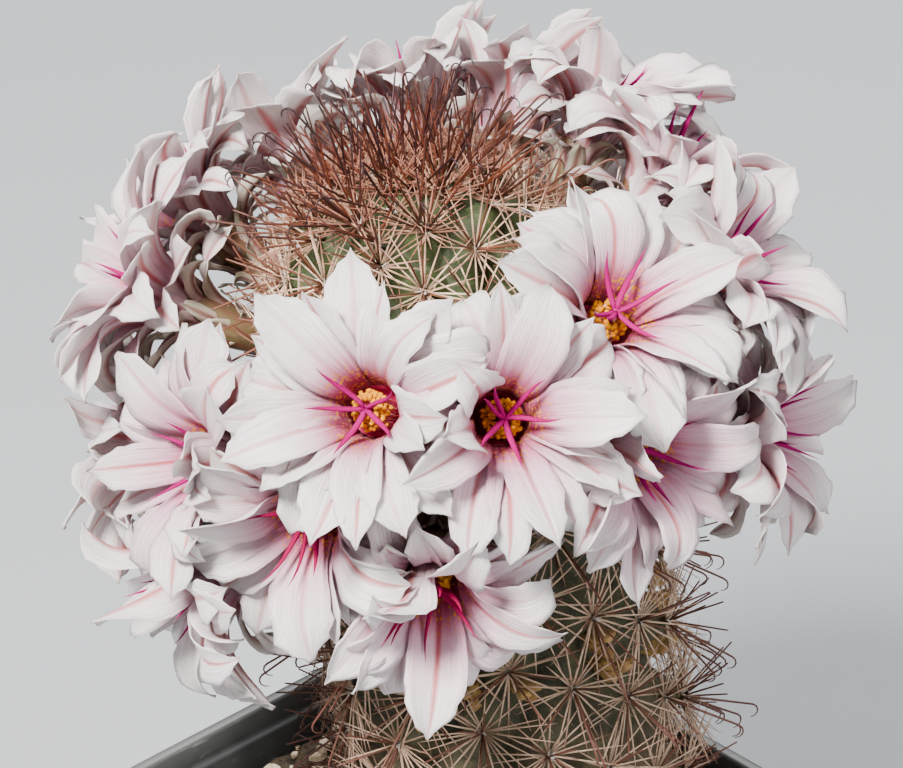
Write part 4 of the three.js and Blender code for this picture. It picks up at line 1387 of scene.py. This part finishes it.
def make_dry_flowers(axils, tree):
    """Shrivelled remains of earlier flowers in the axils just under the ring of blooms."""
    piece = Piece()
    pattern = PATTERNS["husk"]
    along = shares(HUSK_STEPS)
    for axil in axils:
        depth = APEX_Z - axil[2]
        seed = round(float(axil[0]) * 3.1 + float(axil[1]) * 7.7 + float(axil[2]), 3)
        if not HUSKS_FROM < depth < HUSKS_TO or chance(seed) > HUSK_SHARE:
            continue
        out = unit(axil - axis_at(depth))
        for strand in range(HUSK_STRANDS):
            spread = swing(chance(seed + strand) * FULL_TURN, np.cross(out, UP), UP)
            long = between(4.6, 7.4, seed + strand + 0.3)
            path = axil - out * 0.5 + out * long * column(along)
            path = path + (spread * 1.4 + UP * 0.6) * column(along**1.5)
            path = path + spread[::-1] * column(0.35 * np.sin(along * 9 + strand))
            if any(tree.find(point)[2] < HUSK_ROOM for point in path[3:]):
                continue
            wrinkle = (1 + 0.3 * np.sin(along * 17 + seed)) * between(0.6, 1, seed + 0.9 + strand)
            radii = (0.55 + 0.75 * np.sin(along * 2.6)) * wrinkle
            radii[-1] = 0.1
            placed = along_path(pattern, path, radii, 0.6)
            crumple = 0.18 * np.sin(pattern.angle * 3 + pattern.share * 21 + seed)
            placed = placed + column(crumple) * (placed - path[pattern.ring(HUSK_STEPS)])
            piece.add(pattern, placed, along=pattern.share)
    piece.finish("dry_flowers", "husk", "cactus_skin", "stem")


# Pot and soil


def squared(points):
    """Pushes a round section out to a rounded square."""
    reach = np.hypot(points[:, 0], points[:, 1])
    safe = np.maximum(reach, 1e-9)
    c, s = np.abs(points[:, 0]) / safe, np.abs(points[:, 1]) / safe
    power = 2 / POT_CORNER
    square = (c**power + s**power) ** (-1 / power)
    return np.column_stack((points[:, 0] * square, points[:, 1] * square, points[:, 2]))


def pot_inside(z):
    top = POT_WIDTH / 2 - RIM_LIP - 0.6 - POT_WALL
    bottom = POT_BASE_WIDTH / 2 - POT_WALL
    return mix(bottom, top, (z - POT_FLOOR) / (POT_HEIGHT - RIM_DEPTH - POT_FLOOR))


def pot_profile():
    half = POT_WIDTH / 2
    base = POT_BASE_WIDTH / 2
    under = half - RIM_LIP
    inner = half - RIM_TOP
    ledge = inner - LEDGE_WIDTH
    shoulder = POT_HEIGHT - RIM_DEPTH
    return (
        (0.01, 0),
        (base - 1.2, 0),
        (base - 0.35, 0.3),
        (base, 1),
        (mix(base, under - 0.6, 0.5), shoulder / 2),
        (under - 0.6, shoulder - 0.4),
        (under - 0.5, shoulder - 0.05),
        (half - 0.75, shoulder),
        (half - 0.5, shoulder + 0.2),
        (half - 0.02, POT_HEIGHT - 0.8),
        (half - 0.08, POT_HEIGHT - 0.35),
        (half - 0.35, POT_HEIGHT - 0.06),
        (half - 0.7, POT_HEIGHT),
        (inner + 0.55, POT_HEIGHT),
        (inner + 0.2, POT_HEIGHT - 0.1),
        (inner, POT_HEIGHT - 0.5),
        (inner - 0.1, POT_HEIGHT - LEDGE_DEPTH + 0.3),
        (inner - 0.3, POT_HEIGHT - LEDGE_DEPTH),
        (ledge + 0.2, POT_HEIGHT - LEDGE_DEPTH - 0.15),
        (ledge, POT_HEIGHT - LEDGE_DEPTH - 0.4),
        (pot_inside(shoulder), shoulder),
        (pot_inside(POT_FLOOR), POT_FLOOR),
        (0.01, POT_FLOOR),
    )


def make_pot():
    profile = pot_profile()
    pattern = rod_pattern(POT_SIDES, len(profile) - 1)
    radii, heights = np.array(profile)[pattern.ring(len(profile) - 1)].T
    turned = np.column_stack((pattern.points[:, 0] * radii, pattern.points[:, 1] * radii, heights))
    on_rim = (heights > POT_HEIGHT - 0.95) & (radii > POT_WIDTH / 2 - RIM_TOP - 0.05)
    numbers = {"rim": on_rim.astype(float), "along": pattern.angle, "across": heights / POT_HEIGHT}
    piece = Piece()
    piece.add(pattern, squared(turned), **numbers)
    pot = piece.finish("pot_shell", "pot", "pot_plastic", "pot")
    edges = pot.modifiers.new("soft_edges", "BEVEL")
    edges.width = SOFT_EDGE * MM
    edges.segments = 2
    edges.limit_method = "ANGLE"
    edges.angle_limit = 40 * DEGREE


SOIL_CELLS = 90
STEM_FOOT = 16.5
BED_DEPTH = 4
GRAINS = 620
GRAIN_TRIALS = 2400


def crumbly(x, y):
    rough = 0.35 * np.sin(x * 0.9 + 1.3 * np.sin(y * 0.6)) + 0.3 * np.sin(y * 1.1 + x * 0.4)
    return rough + 0.35 * chance(np.round(x * 1.7) * 3.3 + np.round(y * 1.7) * 7.7)


def make_soil():
    """A crumbly bed that fills the pot, with loose grit strewn over it."""
    bed = grid_pattern(SOIL_CELLS, SOIL_CELLS)
    half = pot_inside(POT_HEIGHT - RIM_DEPTH) - 0.4
    x, y = bed.points[:, 0] * half, bed.points[:, 1] * half
    centre = axis_at(APEX_Z - SOIL_TOP)
    apart = np.hypot(x - centre[0], y - centre[1])
    edge = np.maximum(np.abs(x), np.abs(y)) / half
    rim_dip = -3.5 * smooth((edge - 0.97) / 0.03)
    z = SOIL_TOP - 0.6 + crumbly(x, y) + rim_dip - 1.5 * smooth((STEM_FOOT - apart) / 2)
    pull = np.where(np.minimum(np.abs(x), np.abs(y)) > 0.93 * half, 0.985, 1)
    piece = Piece()
    piece.add(bed, np.column_stack((x * pull, y * pull, z)))
    soil = piece.finish("soil_bed", "soil", "potting_mix", "soil")
    thick = soil.modifiers.new("bed_depth", "SOLIDIFY")
    thick.thickness = BED_DEPTH * MM
    thick.offset = -1
    grit = Piece()
    laid = 0
    px, py, pz = PATTERNS["grain"].points.T
    for i in range(GRAIN_TRIALS):
        x = (2 * chance(i + 0.11) - 1) * (half - 1.2)
        y = (2 * chance(i + 0.57) - 1) * (half - 1.2)
        if math.hypot(x - centre[0], y - centre[1]) < STEM_FOOT + 1:
            continue
        size = GRAIN_SIZE * mix(0.16, 0.62, chance(i + 0.83) ** 2.2)
        lump = 1 + 0.22 * np.sin(px * 4 + i) * np.cos(py * 5 + i * 0.7) + 0.15 * np.sin(pz * 6 + i)
        wide, deep, high = px * size * lump, py * size * 0.8 * lump, pz * size * 0.62 * lump
        spin = chance(i + 0.3) * FULL_TURN
        cosine, sine = math.cos(spin), math.sin(spin)
        rise = SOIL_TOP - 0.5 + crumbly(x, y) + size * 0.25
        placed = (x + wide * cosine - deep * sine, y + wide * sine + deep * cosine, rise + high)
        grit.add(PATTERNS["grain"], np.column_stack(placed), draw=chance(i + 0.91))
        laid += 1
        if laid == GRAINS:
            break
    grit.finish("grit", "grit", "potting_mix", "soil", rounded=False)


def make_floor():
    bm = bmesh.new()
    bmesh.ops.create_grid(bm, x_segments=1, y_segments=1, size=3)
    mesh = bpy.data.meshes.new("studio_floor")
    bm.to_mesh(mesh)
    bm.free()
    mesh.materials.append(floor_finish())
    floor = bpy.data.objects.new("studio_floor", mesh)
    bpy.context.scene.collection.objects.link(floor)


FINISHES = {
    "petal": petal_finish(),
    "tube": tube_finish(),
    "anther": anther_finish(),
    "filament": filament_finish(),
    "stigma": stigma_finish(),
    "skin": skin_finish(),
    "radial": spine_finish("radial_spine", *RADIAL_COLOURS),
    "central": spine_finish("central_spine", *CENTRAL_COLOURS),
    "wool": wool_finish(),
    "husk": husk_finish(),
    "pot": pot_finish(),
    "soil": soil_finish(),
    "grit": grit_finish(),
}
PATTERNS = {
    "petal": slab_pattern(8, 18),
    "behind": slab_pattern(6, 13),
    "scale": slab_pattern(4, 11),
    "tube": rod_pattern(24, 19),
    "stalk": rod_pattern(4, FILAMENT_STEPS),
    "anther": bead_pattern(6, 5),
    "lobe": rod_pattern(7, LOBE_STEPS),
    "radial": rod_pattern(4, RADIAL_STEPS),
    "central": rod_pattern(5, SHAFT_STEPS + BOW_STEPS),
    "fluff": rod_pattern(3, len(TUFT_RADII) - 1),
    "husk": rod_pattern(9, HUSK_STEPS),
    "grain": bead_pattern(6, 4),
}


def main():
    set_camera()
    light_studio()
    make_floor()
    areoles = areole_spots()
    axils = stem_axils(areoles)
    blooms, crowd = arrange_blooms(axils)
    grown = np.concatenate(crowd.groups)
    tree = KDTree(len(grown))
    for index, point in enumerate(grown):
        tree.insert(point, index)
    tree.balance()
    for bloom in blooms:
        make_petals(bloom)
        make_tube(bloom)
        make_stamens(bloom)
        make_pistil(bloom, tree)
    make_stem_body(areoles)
    make_spines(areoles, tree)
    make_dry_flowers(axils, tree)
    make_pot()
    make_soil()


main()
